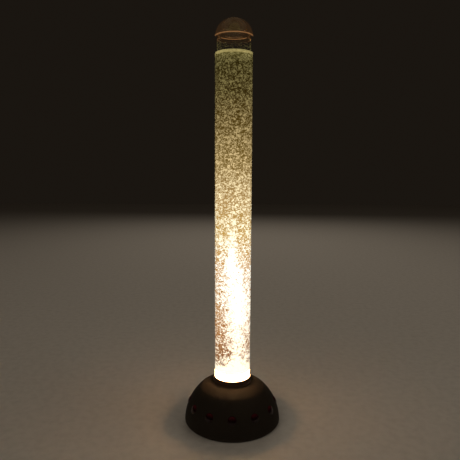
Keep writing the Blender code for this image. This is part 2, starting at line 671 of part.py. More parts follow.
def make_lamp(plate):
    """Reflector, halogen capsule, holder, bracket and heat shroud under the clear floor."""
    neck = NECK_DIAMETER / 2
    outside, inside = [], []
    for step in range(REFLECTOR_STEPS + 1):
        share = step / REFLECTOR_STEPS
        height = REFLECTOR_TOP - REFLECTOR_DEPTH * share
        radius = neck + (REFLECTOR_RADIUS - neck) * sqrt(1 - share)
        outside.append((radius, height))
        inside.append((radius - REFLECTOR_WALL, height))
    profile = [
        *outside, (neck, NECK_BOTTOM), (neck - REFLECTOR_WALL, NECK_BOTTOM), *reversed(inside)
    ]
    turned("lamp_reflector", profile, SMALL_SIDES, REFLECTOR_GLASS, ring=True)

    bulb = CAPSULE_DIAMETER / 2
    foot = HOLDER_TOP + SEAT_GAP
    tip = foot + CAPSULE_LENGTH
    bulb_profile = [
        (0, tip), (CAPSULE_TIP_DIAMETER / 2, tip - CAPSULE_TIP_LENGTH), (bulb, tip - CAPSULE_SHOULDER),
        (bulb, foot), (0, foot),
    ]
    capsule = turned("lamp_capsule", bulb_profile, TINY_SIDES, QUARTZ)
    holder = cylinder("lamp_holder", HOLDER_DIAMETER / 2, HOLDER_BOTTOM, HOLDER_TOP, CERAMIC)
    pin = CAPSULE_PIN_DIAMETER / 2
    for index, side in enumerate((-1, 1)):
        place = (side * CAPSULE_PIN_SPREAD / 2, 0)
        pin_end = foot - CAPSULE_PIN_LENGTH
        pin_body = cylinder(f"capsule_pin_{index}", pin, pin_end, foot + pin, sides=TINY_SIDES, centre=place)
        join(capsule, pin_body)
        pin_hole = cylinder(
            f"pin_hole_{index}", pin + SEAT_GAP, pin_end - SEAT_GAP, HOLDER_TOP + OVERRUN,
            sides=TINY_SIDES, centre=place,
        )
        cut(holder, pin_hole)

    make_bracket(plate)
    shroud_top = FLOOR_BOTTOM - SHROUD_TO_FLOOR
    walls = [
        (SHROUD_OUTER_RADIUS, shroud_top), (SHROUD_OUTER_RADIUS, DECK_HEIGHT),
        (SHROUD_INNER_RADIUS, DECK_HEIGHT), (SHROUD_INNER_RADIUS, shroud_top),
    ]
    shroud = turned("lamp_shroud", walls, SMALL_SIDES * 2, ALUMINIUM, ring=True)
    half, reach = ARCH_WIDTH / 2, SHROUD_OUTER_RADIUS + OVERRUN
    low, high = DECK_HEIGHT - OVERRUN, DECK_HEIGHT + ARCH_HEIGHT
    cut(
        shroud,
        box("arch_along_x", (-reach, -half, low), (reach, half, high)),
        box("arch_along_y", (-half, -reach, low), (half, reach, high)),
    )


def make_bracket(plate):
    """A folded strap that stands on the plate and carries the lamp holder."""
    leg = HOLDER_DIAMETER / 2 + BRACKET_LEG_CLEARANCE
    end = SHROUD_INNER_RADIUS - BRACKET_END_CLEARANCE
    thick = BRACKET_THICKNESS
    foot, deck, top = DECK_HEIGHT + thick, DECK_HEIGHT, BRACKET_TOP
    right = [
        (leg, top), (leg, foot), (end, foot), (end, deck), (leg - thick, deck), (leg - thick, top - thick)
    ]
    left = [(-x, z) for x, z in reversed(right)]
    upright = Matrix.Rotation(pi / 2, 4, "X")
    bracket = prism("lamp_bracket", [*right, *left], BRACKET_WIDTH, STEEL, upright)
    for index, side in enumerate((-1, 1)):
        x = side * (leg + end) / 2
        hole = cylinder(
            f"bracket_hole_{index}", SCREW_SHANK_DIAMETER / 2 + SEAT_GAP, DECK_HEIGHT - OVERRUN,
            foot + SCREW_HEAD_THICKNESS + OVERRUN, sides=TINY_SIDES, centre=(x, 0),
        )
        cut(bracket, hole)
        add_screw(f"bracket_screw_{index + 1}", plate, x, 0, thick + SCREW_HEAD_THICKNESS)


def make_air_line():
    """The nozzle in the clear floor, and the hoses and check valve that feed it."""
    x = -HOSE_RING_RADIUS
    place = Matrix.Translation((x, 0, 0))
    nozzle, flange, barb = NOZZLE_DIAMETER / 2, NOZZLE_FLANGE_DIAMETER / 2, BARB_DIAMETER / 2
    flange_top = FLOOR_BOTTOM - SEAT_GAP
    flange_bottom = flange_top - NOZZLE_FLANGE_THICKNESS
    nozzle_bottom = flange_bottom - BARB_LENGTH
    nozzle_profile = [
        (0, FLOOR_TOP - SEAT_GAP), (nozzle, FLOOR_TOP - SEAT_GAP), (nozzle, flange_top),
        (flange, flange_top), (flange, flange_bottom), (barb, flange_bottom), (barb, nozzle_bottom),
        (0, nozzle_bottom),
    ]
    turned("air_nozzle", nozzle_profile, TINY_SIDES * 2, BRASS, frame=place)

    hose_top = nozzle_bottom - SEAT_GAP
    hose_bottom = hose_top - UPPER_HOSE_LENGTH
    flexible("upper_hose", [(x, 0, hose_top), (x, 0, hose_bottom)], HOSE_DIAMETER, SILICONE)

    valve = CHECK_VALVE_DIAMETER / 2
    stub_top = hose_bottom - SEAT_GAP
    body_top = stub_top - BARB_LENGTH / 2
    body_bottom = body_top - CHECK_VALVE_LENGTH
    stub_bottom = body_bottom - BARB_LENGTH / 2
    valve_profile = [
        (0, stub_top), (barb, stub_top), (barb, body_top), (valve, body_top), (valve, body_bottom),
        (barb, body_bottom), (barb, stub_bottom), (0, stub_bottom),
    ]
    turned("check_valve", valve_profile, TINY_SIDES * 2, GREY_PLASTIC, frame=place)

    outlet_x = PUMP_INNER_X + BARB_LENGTH + SEAT_GAP
    bend_x = outlet_x + HOSE_DIAMETER / 2
    hose_end = stub_bottom - SEAT_GAP
    bend_width = x - bend_x
    bend_height = hose_end - HOSE_DIAMETER - PUMP_MIDDLE
    lower = [(outlet_x, BLOCK_Y, PUMP_MIDDLE)]
    for step in range(HOSE_POINTS + 1):
        turn = pi / 2 * step / HOSE_POINTS
        along, up = bend_width * sin(turn), bend_height * (1 - cos(turn))
        lower.append((bend_x + along, BLOCK_Y, PUMP_MIDDLE + up))
    lower.append((x, BLOCK_Y, hose_end))
    flexible("lower_hose", lower, HOSE_DIAMETER, SILICONE, count=1)


def make_pump():
    """A vibrating-arm air pump in its own case: coil, core, arm with magnet, diaphragm, valves."""
    half_length = PUMP_LENGTH / 2
    inner_half = PUMP_INNER_LENGTH / 2
    inner_low_x, inner_high_x = PUMP_OUTER_X + PUMP_WALL, PUMP_INNER_X - PUMP_WALL
    pad_inset = PUMP_PAD_INSET
    box(
        "pump_pad",
        (PUMP_OUTER_X + pad_inset, pad_inset - half_length, DECK_HEIGHT),
        (PUMP_INNER_X - pad_inset, half_length - pad_inset, DECK_HEIGHT + PUMP_PAD_THICKNESS),
        RUBBER,
    )
    case = box(
        "pump_case", (PUMP_OUTER_X, -half_length, PUMP_BOTTOM), (PUMP_INNER_X, half_length, PUMP_RIM),
        GREY_PLASTIC,
    )
    room = box(
        "pump_room", (inner_low_x, -inner_half, PUMP_FLOOR),
        (inner_high_x, inner_half, PUMP_RIM + OVERRUN),
    )
    along_x = Matrix.Translation((PUMP_INNER_X, BLOCK_Y, PUMP_MIDDLE)) @ Matrix.Rotation(pi / 2, 4, "Y")
    outlet_hole = cylinder(
        "outlet_hole", BARB_DIAMETER / 2 + SEAT_GAP, -PUMP_WALL - OVERRUN, OVERRUN, frame=along_x
    )
    wire_hole = box(
        "wire_hole",
        (PUMP_CENTRE_X - WIRE_SPREAD, inner_half - OVERRUN, wire_hole_height() - WIRE_SPREAD),
        (PUMP_CENTRE_X + WIRE_SPREAD, half_length + OVERRUN, wire_hole_height() + WIRE_SPREAD),
    )
    cut(case, room, outlet_hole, wire_hole)

    cover_bottom = PUMP_RIM + SEAT_GAP
    cover = box(
        "pump_cover", (PUMP_OUTER_X, -half_length, cover_bottom), (PUMP_INNER_X, half_length, PUMP_TOP),
        GREY_PLASTIC,
    )
    lip_low = (inner_low_x + SEAT_GAP, SEAT_GAP - inner_half, PUMP_RIM - COVER_LIP_DEPTH)
    lip_high = (inner_high_x - SEAT_GAP, inner_half - SEAT_GAP, cover_bottom + COVER_THICKNESS / 2)
    lip = box("cover_lip", lip_low, lip_high)
    lip_room = box(
        "cover_lip_room",
        (lip_low[0] + COVER_LIP_WALL, lip_low[1] + COVER_LIP_WALL, lip_low[2] - OVERRUN),
        (lip_high[0] - COVER_LIP_WALL, lip_high[1] - COVER_LIP_WALL, cover_bottom),
    )
    join(cover, lip)
    cut(cover, lip_room)
    make_electromagnet()
    make_pump_arm()
    make_valve_block()


def wire_hole_height():
    return PUMP_FLOOR + WIRE_SPREAD + WIRE_LIFT


def make_electromagnet():
    """An E-shaped core with a coil round its middle leg."""
    middle = PUMP_MIDDLE
    leg = CORE_LEG_LENGTH / 2
    slot = COIL_WINDING + 2 * SEAT_GAP
    core = box(
        "pump_core",
        (CORE_BACK_X, CORE_START_Y, middle - CORE_HEIGHT / 2),
        (CORE_FACE_X, CORE_START_Y + CORE_LENGTH, middle + CORE_HEIGHT / 2),
        STEEL,
    )
    slot_low, slot_high = middle - CORE_HEIGHT / 2 - OVERRUN, middle + CORE_HEIGHT / 2 + OVERRUN
    slot_start, slot_end = CORE_BACK_X + CORE_BACK, CORE_FACE_X + OVERRUN
    y = CORE_MIDDLE_Y
    cut(
        core,
        box("core_slot_0", (slot_start, y - leg - slot, slot_low), (slot_end, y - leg, slot_high)),
        box("core_slot_1", (slot_start, y + leg, slot_low), (slot_end, y + leg + slot, slot_high)),
    )
    coil_start, coil_end = slot_start + SEAT_GAP, CORE_FACE_X - SEAT_GAP
    coil_half = leg + SEAT_GAP + COIL_WINDING
    coil = box(
        "pump_coil",
        (coil_start, y - coil_half, middle - COIL_HEIGHT / 2),
        (coil_end, y + coil_half, middle + COIL_HEIGHT / 2),
        COPPER,
    )
    window_half_y, window_half_z = leg + SEAT_GAP, CORE_HEIGHT / 2 + SEAT_GAP
    window = box(
        "coil_window",
        (coil_start - OVERRUN, y - window_half_y, middle - window_half_z),
        (coil_end + OVERRUN, y + window_half_y, middle + window_half_z),
    )
    cut(coil, window)


def make_pump_arm():
    """The arm swings on its pin; its magnet faces the core's middle leg."""
    middle = PUMP_MIDDLE
    low, high = middle - ARM_HEIGHT / 2, middle + ARM_HEIGHT / 2
    pivot = Matrix.Translation((ARM_X, PIVOT_Y, 0))
    cylinder(
        "pump_pivot", PIVOT_DIAMETER / 2, PUMP_FLOOR + SEAT_GAP, PUMP_RIM, STEEL, TINY_SIDES, pivot
    )
    half = ARM_THICKNESS / 2
    arm = cylinder("pump_arm", EYE_RADIUS, low, high, ALUMINIUM, SMALL_SIDES, pivot)
    bar = box("arm_bar", (-half, ARM_TIP_Y - PIVOT_Y, low), (half, -EYE_RADIUS / 2, high), frame=pivot)
    eye = cylinder(
        "arm_eye", PIVOT_DIAMETER / 2 + RUN_GAP, low - OVERRUN, high + OVERRUN, frame=pivot
    )
    join(arm, bar)
    cut(arm, eye)
    box(
        "pump_magnet",
        (MAGNET_X - MAGNET_THICKNESS / 2, CORE_MIDDLE_Y - MAGNET_LENGTH / 2, low),
        (MAGNET_X + MAGNET_THICKNESS / 2, CORE_MIDDLE_Y + MAGNET_LENGTH / 2, high),
        MAGNET_GREY,
    )


def make_valve_block():
    """The rubber diaphragm between arm and valve block, and the block's outlet barb."""
    start = Matrix.Translation((DIAPHRAGM_START_X, BLOCK_Y, PUMP_MIDDLE)) @ Matrix.Rotation(pi / 2, 4, "Y")
    wide, narrow = DIAPHRAGM_DIAMETER / 2, DIAPHRAGM_TIP_DIAMETER / 2
    half_way = DIAPHRAGM_LENGTH / 2
    cup = [
        (0, DIAPHRAGM_LENGTH), (wide, DIAPHRAGM_LENGTH), (wide, half_way), (narrow, half_way),
        (narrow, 0), (0, 0),
    ]
    turned("pump_diaphragm", cup, SMALL_SIDES, RUBBER, frame=start)

    half = BLOCK_SIZE / 2
    block = box(
        "pump_valve_block",
        (BLOCK_X - BLOCK_THICKNESS / 2, BLOCK_Y - half, PUMP_MIDDLE - half),
        (BLOCK_X + BLOCK_THICKNESS / 2, BLOCK_Y + half, PUMP_MIDDLE + half),
        GREY_PLASTIC,
    )
    outlet = Matrix.Translation((BLOCK_X, BLOCK_Y, PUMP_MIDDLE)) @ Matrix.Rotation(pi / 2, 4, "Y")
    join(
        block,
        cylinder("outlet_barb", BARB_DIAMETER / 2, 0, PUMP_INNER_X + BARB_LENGTH - BLOCK_X, frame=outlet),
    )


def inlet_frame():
    return dome_frame(pi + JEWEL_PITCH / 2, REAR_HEIGHT)


def switch_frame():
    return dome_frame(pi - JEWEL_PITCH / 2, REAR_HEIGHT)


def make_inlet(shell):
    """A round socket for a low-voltage plug, held by a nut inside the shell."""
    frame = inlet_frame()
    flange, barrel, bore = (
        INLET_FLANGE_DIAMETER / 2, INLET_BARREL_DIAMETER / 2, INLET_SOCKET_DIAMETER / 2
    )
    seat = SEAT_GAP - REAR_SEAT_DEPTH
    face = seat + INLET_FLANGE_THICKNESS
    bore_end = face - INLET_SOCKET_DEPTH
    pin = INLET_PIN_DIAMETER / 2
    profile = [
        (0, face - OVERRUN), (pin, face - OVERRUN), (pin, bore_end), (bore, bore_end), (bore, face),
        (flange, face), (flange, seat), (barrel, seat), (barrel, -INLET_LENGTH), (0, -INLET_LENGTH),
    ]
    turned("power_inlet", profile, SMALL_SIDES, BLACK_PLASTIC, frame=frame)

    nut_top = -BASE_WALL - INLET_NUT_CLEARANCE
    nut_bottom = nut_top - INLET_NUT_THICKNESS
    nut = cylinder("inlet_nut", INLET_NUT_DIAMETER / 2, nut_bottom, nut_top, STEEL, 6, frame)
    nut_hole = cylinder(
        "nut_hole", barrel + SEAT_GAP, nut_bottom - OVERRUN, nut_top + OVERRUN, frame=frame
    )
    cut(nut, nut_hole)
    seat_radius, hole_radius = flange + SEAT_GAP, barrel + SEAT_GAP
    recess = [
        (0, face), (seat_radius, face), (seat_radius, -REAR_SEAT_DEPTH), (hole_radius, -REAR_SEAT_DEPTH),
        (hole_radius, nut_bottom), (0, nut_bottom),
    ]
    cut(shell, turned("inlet_seat", recess, SMALL_SIDES, frame=frame))


def make_switch(shell):
    """A rocker switch that fits a square hole. The rocker is stored at ON."""
    frame = switch_frame()
    width, tall, rim = SWITCH_WIDTH / 2, SWITCH_TALL / 2, SWITCH_BEZEL_RIM
    seat = SEAT_GAP - REAR_SEAT_DEPTH
    face = seat + SWITCH_BEZEL_THICKNESS
    body = box("switch_body", (-width, -tall, seat), (width, tall, face), BLACK_PLASTIC, frame)
    can_width, can_tall = width - rim, tall - rim
    can_top = seat + SWITCH_BEZEL_THICKNESS / 2
    can = box(
        "switch_can", (-can_width, -can_tall, -SWITCH_DEPTH), (can_width, can_tall, can_top), frame=frame
    )
    well_width, well_tall = can_width - SWITCH_WALL / 2, can_tall - SWITCH_WALL
    well = box(
        "rocker_well", (-well_width, -well_tall, face - ROCKER_WELL_DEPTH),
        (well_width, well_tall, face + OVERRUN), frame=frame,
    )
    join(body, can)
    cut(body, well)

    gap = SEAT_GAP
    cut(
        shell,
        box(
            "switch_seat", (-width - gap, -tall - gap, -REAR_SEAT_DEPTH), (width + gap, tall + gap, face),
            frame=frame,
        ),
        box(
            "switch_hole", (-can_width - gap, -can_tall - gap, -SWITCH_DEPTH),
            (can_width + gap, can_tall + gap, face), frame=frame,
        ),
    )

    half = well_width - ROCKER_END_CLEARANCE
    keel = half * ROCKER_KEEL_SHARE
    top, dip, under = ROCKER_DIP, 0, -ROCKER_THICKNESS + ROCKER_DIP
    outline = [
        (-half, top), (-half, under), (-keel, under - ROCKER_KEEL), (keel, under - ROCKER_KEEL),
        (half, under), (half, top), (0, dip),
    ]
    lie_across = Matrix.Rotation(pi / 2, 4, "X")
    pivot = Matrix.Translation((0, 0, face - ROCKER_PIVOT_DEPTH))
    tilt = Matrix.Rotation(-ROCKER_TILT, 4, "Y")
    prism(
        "switch_rocker", outline, 2 * (well_tall - SEAT_GAP), GREY_PLASTIC,
        frame @ pivot @ tilt @ lie_across,
    )


def make_wires():
    """Wires from the inlet and the switch to the lamp holder and the pump."""
    inlet, switch = inlet_frame(), switch_frame()
    inlet_tail, switch_tail = -INLET_LENGTH - SEAT_GAP, -SWITCH_DEPTH - SEAT_GAP
    radius = WIRE_DIAMETER / 2
    run_height = DECK_HEIGHT + WIRE_LIFT
    holder_y = HOLDER_DIAMETER / 2 + SEAT_GAP + radius
    holder_z = (HOLDER_TOP + HOLDER_BOTTOM) / 2

    def lead_out(frame, tail, across):
        """The straight start of a wire, square to the terminal that it leaves."""
        return [frame @ Vector((across, 0, tail - WIRE_BEND * share)) for share in (0, 1 / 2, 1)]

    def to_lamp(name, frame, tail, across, side, material):
        x = side * WIRE_SPREAD
        outside = SHROUD_OUTER_RADIUS + WIRE_BEND
        riser_y = (SHROUD_INNER_RADIUS + HOLDER_DIAMETER / 2) / 2
        flexible(name, [
            *lead_out(frame, tail, across),
            (x, outside + WIRE_BEND, run_height), (x, outside, run_height),
            (x, riser_y + WIRE_LIFT, run_height), (x, riser_y, run_height + WIRE_BEND),
            (x, riser_y, holder_z - WIRE_BEND), (x, holder_y, holder_z),
        ], WIRE_DIAMETER, material)

    to_lamp("lamp_wire_live", switch, switch_tail, -WIRE_SPREAD, 1, WIRE_RED)
    to_lamp("lamp_wire_return", inlet, inlet_tail, -WIRE_SPREAD, -1, WIRE_BLACK)

    def to_pump(name, frame, tail, across, side, height, material):
        inward = side * WIRE_SPREAD / 2
        x = PUMP_CENTRE_X + inward
        hole_y, hole_z = PUMP_LENGTH / 2, wire_hole_height()
        boss_x, boss_y = screw_place(WIRE_BOSS_INDEX)
        flexible(name, [
            *lead_out(frame, tail, across),
            (boss_x + inward, boss_y - BOSS_DIAMETER / 2 - WIRE_BEND - inward, height),
            (x, hole_y + WIRE_BEND, hole_z), (x, hole_y - PUMP_WALL / 2, hole_z),
        ], WIRE_DIAMETER, material)

    to_pump("pump_wire_live", switch, switch_tail, WIRE_SPREAD, 1, run_height + 3 * WIRE_LIFT, WIRE_RED)
    to_pump("pump_wire_return", inlet, inlet_tail, WIRE_SPREAD, -1, run_height + 2 * WIRE_LIFT, WIRE_BLACK)


def build():
    make_tube()
    make_cap()
    make_collar()
    shell = make_base_shell()
    make_jewels(shell)
    plate = make_plate()
    make_lamp(plate)
    make_air_line()
    make_pump()
    make_inlet(shell)
    make_switch(shell)
    make_wires()


build()
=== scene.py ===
"""Looks of the bubble tube lamp: its pieces, finishes, light and camera.

Lengths are in metres. +Z is up, -Y is the front, and the origin is the middle of the underside.
"""

import random
from math import asin, cos, pi, radians, sin, sqrt, tau

import bmesh
import bpy
from mathutils import Matrix, Vector, noise


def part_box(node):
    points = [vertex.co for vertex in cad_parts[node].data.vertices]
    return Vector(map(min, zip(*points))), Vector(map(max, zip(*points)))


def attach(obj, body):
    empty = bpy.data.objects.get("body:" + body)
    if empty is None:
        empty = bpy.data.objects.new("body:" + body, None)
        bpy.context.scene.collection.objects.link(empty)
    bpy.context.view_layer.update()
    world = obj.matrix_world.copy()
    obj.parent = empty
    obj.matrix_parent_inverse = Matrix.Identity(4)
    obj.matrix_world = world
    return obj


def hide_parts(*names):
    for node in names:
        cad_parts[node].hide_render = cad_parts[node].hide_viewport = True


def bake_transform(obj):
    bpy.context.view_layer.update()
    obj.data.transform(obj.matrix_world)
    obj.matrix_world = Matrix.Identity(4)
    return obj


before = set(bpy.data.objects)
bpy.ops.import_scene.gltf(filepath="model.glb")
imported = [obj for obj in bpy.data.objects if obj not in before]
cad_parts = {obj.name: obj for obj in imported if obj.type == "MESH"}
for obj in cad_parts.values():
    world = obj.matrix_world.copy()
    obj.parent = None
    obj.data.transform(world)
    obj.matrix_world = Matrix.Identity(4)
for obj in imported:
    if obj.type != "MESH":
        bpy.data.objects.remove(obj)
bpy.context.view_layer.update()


# Fineness of the meshes
TUBE_SIDES = 128
SHELL_SIDES = 144
JEWEL_SIDES = 40
SMALL_SIDES = 32
ARC_STEPS = 28
INNER_ARC_STEPS = 16
JEWEL_STEPS = 12
FILLET_STEPS = 4
FILLET_LIMIT = 2.2
BEVEL_STEPS = 3
CORNER_ANGLE = radians(20)
SHARP_ANGLE = radians(32)
MERGE_DISTANCE = 0.00001

# Clearances
SEAT_GAP = 0.0003
WALL_GAP = 0.0002
GLASS_OVERLAP = 0.00005
OVERRUN = 0.002

# Tube, cap and water, from the frame
(_, _, TUBE_BOTTOM), (TUBE_RADIUS, _, RIM_HEIGHT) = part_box("tube")
(_, _, FLOOR_BOTTOM), (_, _, FLOOR_TOP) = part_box("tube_floor")
(_, _, CAP_BOTTOM), (_, _, CAP_TOP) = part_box("dome_cap")
WATER_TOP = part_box("water_column")[1].z
TUBE_WALL = 0.004
BORE_RADIUS = TUBE_RADIUS - TUBE_WALL
NOZZLE_RADIUS = 0.003
CAP_FLANGE_THICKNESS = 0.003
CAP_LEDGE = 0.0015
CAP_DOME_FOOT = 0.0005
CAP_SKIRT_WALL = 0.0022
CAP_CROWN_WALL = 0.0025

# Edges of the clear acrylic with painted glow, for the light piped through it: down the bore, across a corner
# and up the cap's flange
EDGE_REACH = 0.0012
CORNER_WIDTH = 0.0007
LIT_LINE = 0.0005

# Base, from the frame
(_, _, COLLAR_BOTTOM), (COLLAR_RADIUS, _, COLLAR_TOP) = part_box("tube_collar")
(_, _, EDGE_HEIGHT), (_, _, LAND_HEIGHT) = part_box("base_shell")
PLATE_RADIUS, _, PLATE_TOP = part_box("base_plate")[1]
BASE_RADIUS = 0.1085
BASE_WALL = 0.003
LAND_WIDTH = 0.011
SOCKET_RADIUS = TUBE_RADIUS + SEAT_GAP
LEDGE_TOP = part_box("tube_gasket")[0].z - SEAT_GAP
LEDGE_THICKNESS = 0.003
LEDGE_OPENING_RADIUS = BORE_RADIUS - 0.001
SHOULDER_RADIUS = COLLAR_RADIUS + LAND_WIDTH
DOME_CREST = LAND_HEIGHT / sqrt(1 - (SHOULDER_RADIUS / BASE_RADIUS) ** 2)
BOSS_RADIUS = 0.0045
BOSS_HOLE_RADIUS = 0.00175 + SEAT_GAP
BOSS_HOLE_DEPTH = 0.011
BOSS_RING_RADIUS = PLATE_RADIUS - 0.016
BOSS_PLACES = [
    (BOSS_RING_RADIUS * sin(turn), -BOSS_RING_RADIUS * cos(turn))
    for turn in (pi / 4, 3 * pi / 4, 5 * pi / 4, 7 * pi / 4)
]

# Jewels
JEWEL_COUNT = 12
JEWEL_PITCH = tau / JEWEL_COUNT
JEWEL_HEIGHT = 0.0445
JEWEL_RADIUS = 0.0095
JEWEL_RISE = 0.0024
JEWEL_BAND = 0.001
JEWEL_SEAT_DEPTH = 0.0013
JEWEL_SEAT_FLARE = 0.0007
JEWEL_STUD_RADIUS = 0.004
JEWEL_STUD_LENGTH = 0.0045

# Inlet and switch at the back
REAR_HEIGHT = 0.018
REAR_SEAT_DEPTH = 0.0007
REAR_SEAT = SEAT_GAP - REAR_SEAT_DEPTH


def screen_colour(*colour):
    """A colour seen on a screen, 0 to 255, as linear light."""
    shares = [value / 255 for value in colour]
    return (*(part / 12.92 if part <= 0.04045 else ((part + 0.055) / 1.055) ** 2.4 for part in shares), 1)


# Where most of a noise's values lie
NOISE_SPREAD = (0.3, 0.7)


class Finish:
    """A material with a Principled shader and the nodes that drive it."""

    def __init__(self, name, colour, roughness, **values):
        self.material = bpy.data.materials.new(name)
        self.material.use_nodes = True
        self.tree = self.material.node_tree
        self.shader = self.tree.nodes["Principled BSDF"]
        self.colour = screen_colour(*colour)
        self.drive("Base Color", self.colour)
        self.drive("Roughness", roughness)
        for key, value in values.items():
            self.drive(key.replace("_", " ").title().replace("Ior", "IOR"), value)

    def feed(self, socket, source):
        """Join a socket to an output, or give it a plain value."""
        if isinstance(source, bpy.types.NodeSocket):
            self.tree.links.new(source, socket)
        else:
            socket.default_value = source

    def drive(self, key, source):
        self.feed(self.shader.inputs[key], source)

    def node(self, kind, sources, **settings):
        """A new node with its settings, and with what feeds its inputs."""
        made = self.tree.nodes.new(kind)
        for key, value in settings.items():
            setattr(made, key, value)
        for key, source in sources.items():
            self.feed(made.inputs[key], source)
        return made

    def attribute(self, name):
        """A value that the mesh holds for each corner."""
        return self.node("ShaderNodeAttribute", {}, attribute_name=name).outputs["Fac"]

    def place(self, stretch=(1, 1, 1)):
        """The point on the object, in metres, with each axis scaled."""
        point = self.node("ShaderNodeTexCoord", {}).outputs["Object"]
        return self.node("ShaderNodeMapping", {"Vector": point, "Scale": stretch}).outputs["Vector"]

    def height(self):
        """Height above the origin."""
        return self.node("ShaderNodeSeparateXYZ", {0: self.place()}).outputs["Z"]

    def grain(self, size, stretch=(1, 1, 1), detail=2.0, distortion=0.0):
        """Noise from 0 to 1 with spots of about this size."""
        return self.node("ShaderNodeTexNoise", {
            "Vector": self.place(stretch), "Scale": 1 / size, "Detail": detail, "Distortion": distortion,
        }).outputs[0]

    def ranged(self, source, across=NOISE_SPREAD, onto=(0, 1), interpolation="LINEAR"):
        """The source's stretch across two values, mapped onto two others and held beyond them."""
        return self.node("ShaderNodeMapRange", {
            "Value": source, "From Min": across[0], "From Max": across[1],
            "To Min": onto[0], "To Max": onto[1],
        }, interpolation_type=interpolation).outputs["Result"]

    def maths(self, operation, first, second=0.0):
        return self.node("ShaderNodeMath", {0: first, 1: second}, operation=operation).outputs[0]

    def blend(self, share, first, second):
        """A colour between two, by share."""
        return self.node("ShaderNodeMix", {0: share, 6: first, 7: second}, data_type="RGBA").outputs[2]

    def scaled(self, colour, factor):
        """A colour times a number."""
        return self.node("ShaderNodeVectorMath", {0: colour, "Scale": factor}, operation="SCALE").outputs[0]

    def ramp(self, share, stops):
        """A colour from (share, colour) stops."""
        made = self.node("ShaderNodeValToRGB", {0: share})
        elements = made.color_ramp.elements
        while len(elements) < len(stops):
            elements.new(0.5)
        for element, (position, colour) in zip(elements, stops):
            element.position = position
            element.color = screen_colour(*colour)
        return made.outputs[0]

    def bump(self, height, depth):
        """Raise the surface by depth where the height is 1."""
        raised = self.node("ShaderNodeBump", {"Distance": depth, "Height": height})
        self.drive("Normal", raised.outputs[0])

    def wear(self, size, across, worn):
        """Turn the colour to a worn one in patches, which come across a stretch of their noise."""
        patches = self.grain(size, detail=4)
        self.drive("Base Color", self.blend(self.ranged(patches, across), self.colour, screen_colour(*worn)))
        return patches

    def shine(self, light):
        """Give off light of this colour."""
        self.drive("Emission Color", light)
        self.drive("Emission Strength", 1)


def moulded(name, colour, worn, roughness, grain=0.0006, depth=0.00004):
    """Moulded plastic or rubber: a fine texture, with patches that are duller and a little worn."""
    finish = Finish(name, colour, roughness)
    patches = finish.wear(0.018, (0.4, 0.75), worn)
    finish.drive("Roughness", finish.ranged(patches, onto=(roughness - 0.08, roughness + 0.08)))
    finish.bump(finish.grain(grain, detail=1), depth)
    return finish.material


def metal(name, colour, dull, roughness, grain=0.0008, stretch=(1, 1, 1), depth=0.00001):
    """Metal with drawn or plated streaks, and patches of duller surface."""
    finish = Finish(name, colour, roughness, metallic=1.0)
    finish.wear(0.008, (0.4, 0.8), dull)
    streaks = finish.grain(grain, stretch, detail=3)
    finish.drive("Roughness", finish.ranged(streaks, onto=(roughness - 0.06, roughness + 0.12)))
    finish.bump(streaks, depth)
    return finish.material


def clear_finish(name, colour, ior, roughness, wave, depth, stretch=(1, 1, 1), glow=0.0, **values):
    """Clear acrylic or glass with faint waves in its surface, and a painted glow per metre inside it, in
    place of the lamp's light that it scatters.
    """
    finish = Finish(name, colour, roughness, ior=ior, **{"transmission_weight": 1.0, **values})
    finish.bump(finish.grain(wave, stretch, detail=1), depth)
    if glow:
        inside = finish.node("ShaderNodeEmission", {"Color": screen_colour(255, 172, 88), "Strength": glow})
        finish.feed(finish.tree.nodes["Material Output"].inputs["Volume"], inside.outputs[0])
    return finish.material


# How high the scuffs reach up from the shell's foot, and where the dust starts on its shoulder
SCUFF_HEIGHT = 0.009
DUST_START = 0.045


def shell_finish():
    """Satin charcoal moulding with a fine texture, dust on its shoulder and scuffs along its foot."""
    finish = Finish("shell_satin", (48, 41, 33), 0.7, specular_ior_level=0.25)
    patches, specks, height = finish.grain(0.03, detail=5), finish.grain(0.0022), finish.height()
    foot = finish.ranged(height, (EDGE_HEIGHT, EDGE_HEIGHT + SCUFF_HEIGHT), (1, 0), "SMOOTHSTEP")
    scuffs = finish.maths("MULTIPLY", foot, finish.ranged(specks, (0.52, 0.64), (0, 0.8)))
    shoulder = finish.ranged(height, (DUST_START, LAND_HEIGHT), interpolation="SMOOTHSTEP")
    dust = finish.maths("MULTIPLY", shoulder, finish.ranged(patches, (0.35, 0.7), (0.1, 0.5)))
    dusty = finish.blend(dust, finish.colour, screen_colour(64, 54, 43))
    finish.drive("Base Color", finish.blend(scuffs, dusty, screen_colour(86, 76, 66)))
    finish.drive("Roughness", finish.ranged(patches, onto=(0.68, 0.82)))
    finish.bump(finish.grain(0.0007, detail=1), 0.00005)
    return finish.material


# Light in the column, from its floor to its surface: share of the height, and the colours seen
BRIGHT_STOPS = (
    (0.00, (255, 244, 222)), (0.34, (255, 255, 250)), (0.45, (255, 250, 226)),
    (0.56, (255, 240, 200)), (0.67, (226, 200, 150)), (0.78, (184, 163, 116)),
    (0.88, (134, 122, 78)), (0.97, (118, 109, 68)), (1.00, (160, 150, 100)),
)
SHADE_STOPS = (
    (0.00, (126, 74, 28)), (0.14, (176, 114, 46)), (0.34, (204, 148, 72)), (0.45, (202, 160, 82)),
    (0.56, (178, 142, 88)), (0.67, (120, 97, 45)), (0.78, (83, 64, 19)), (0.88, (50, 37, 6)),
    (0.97, (42, 34, 5)), (1.00, (92, 84, 42)),
)

# How much brighter the column's foot is than its stops, and between which shares that fades
GLARE = 1.5
GLARE_HEIGHTS = (0.40, 0.72)

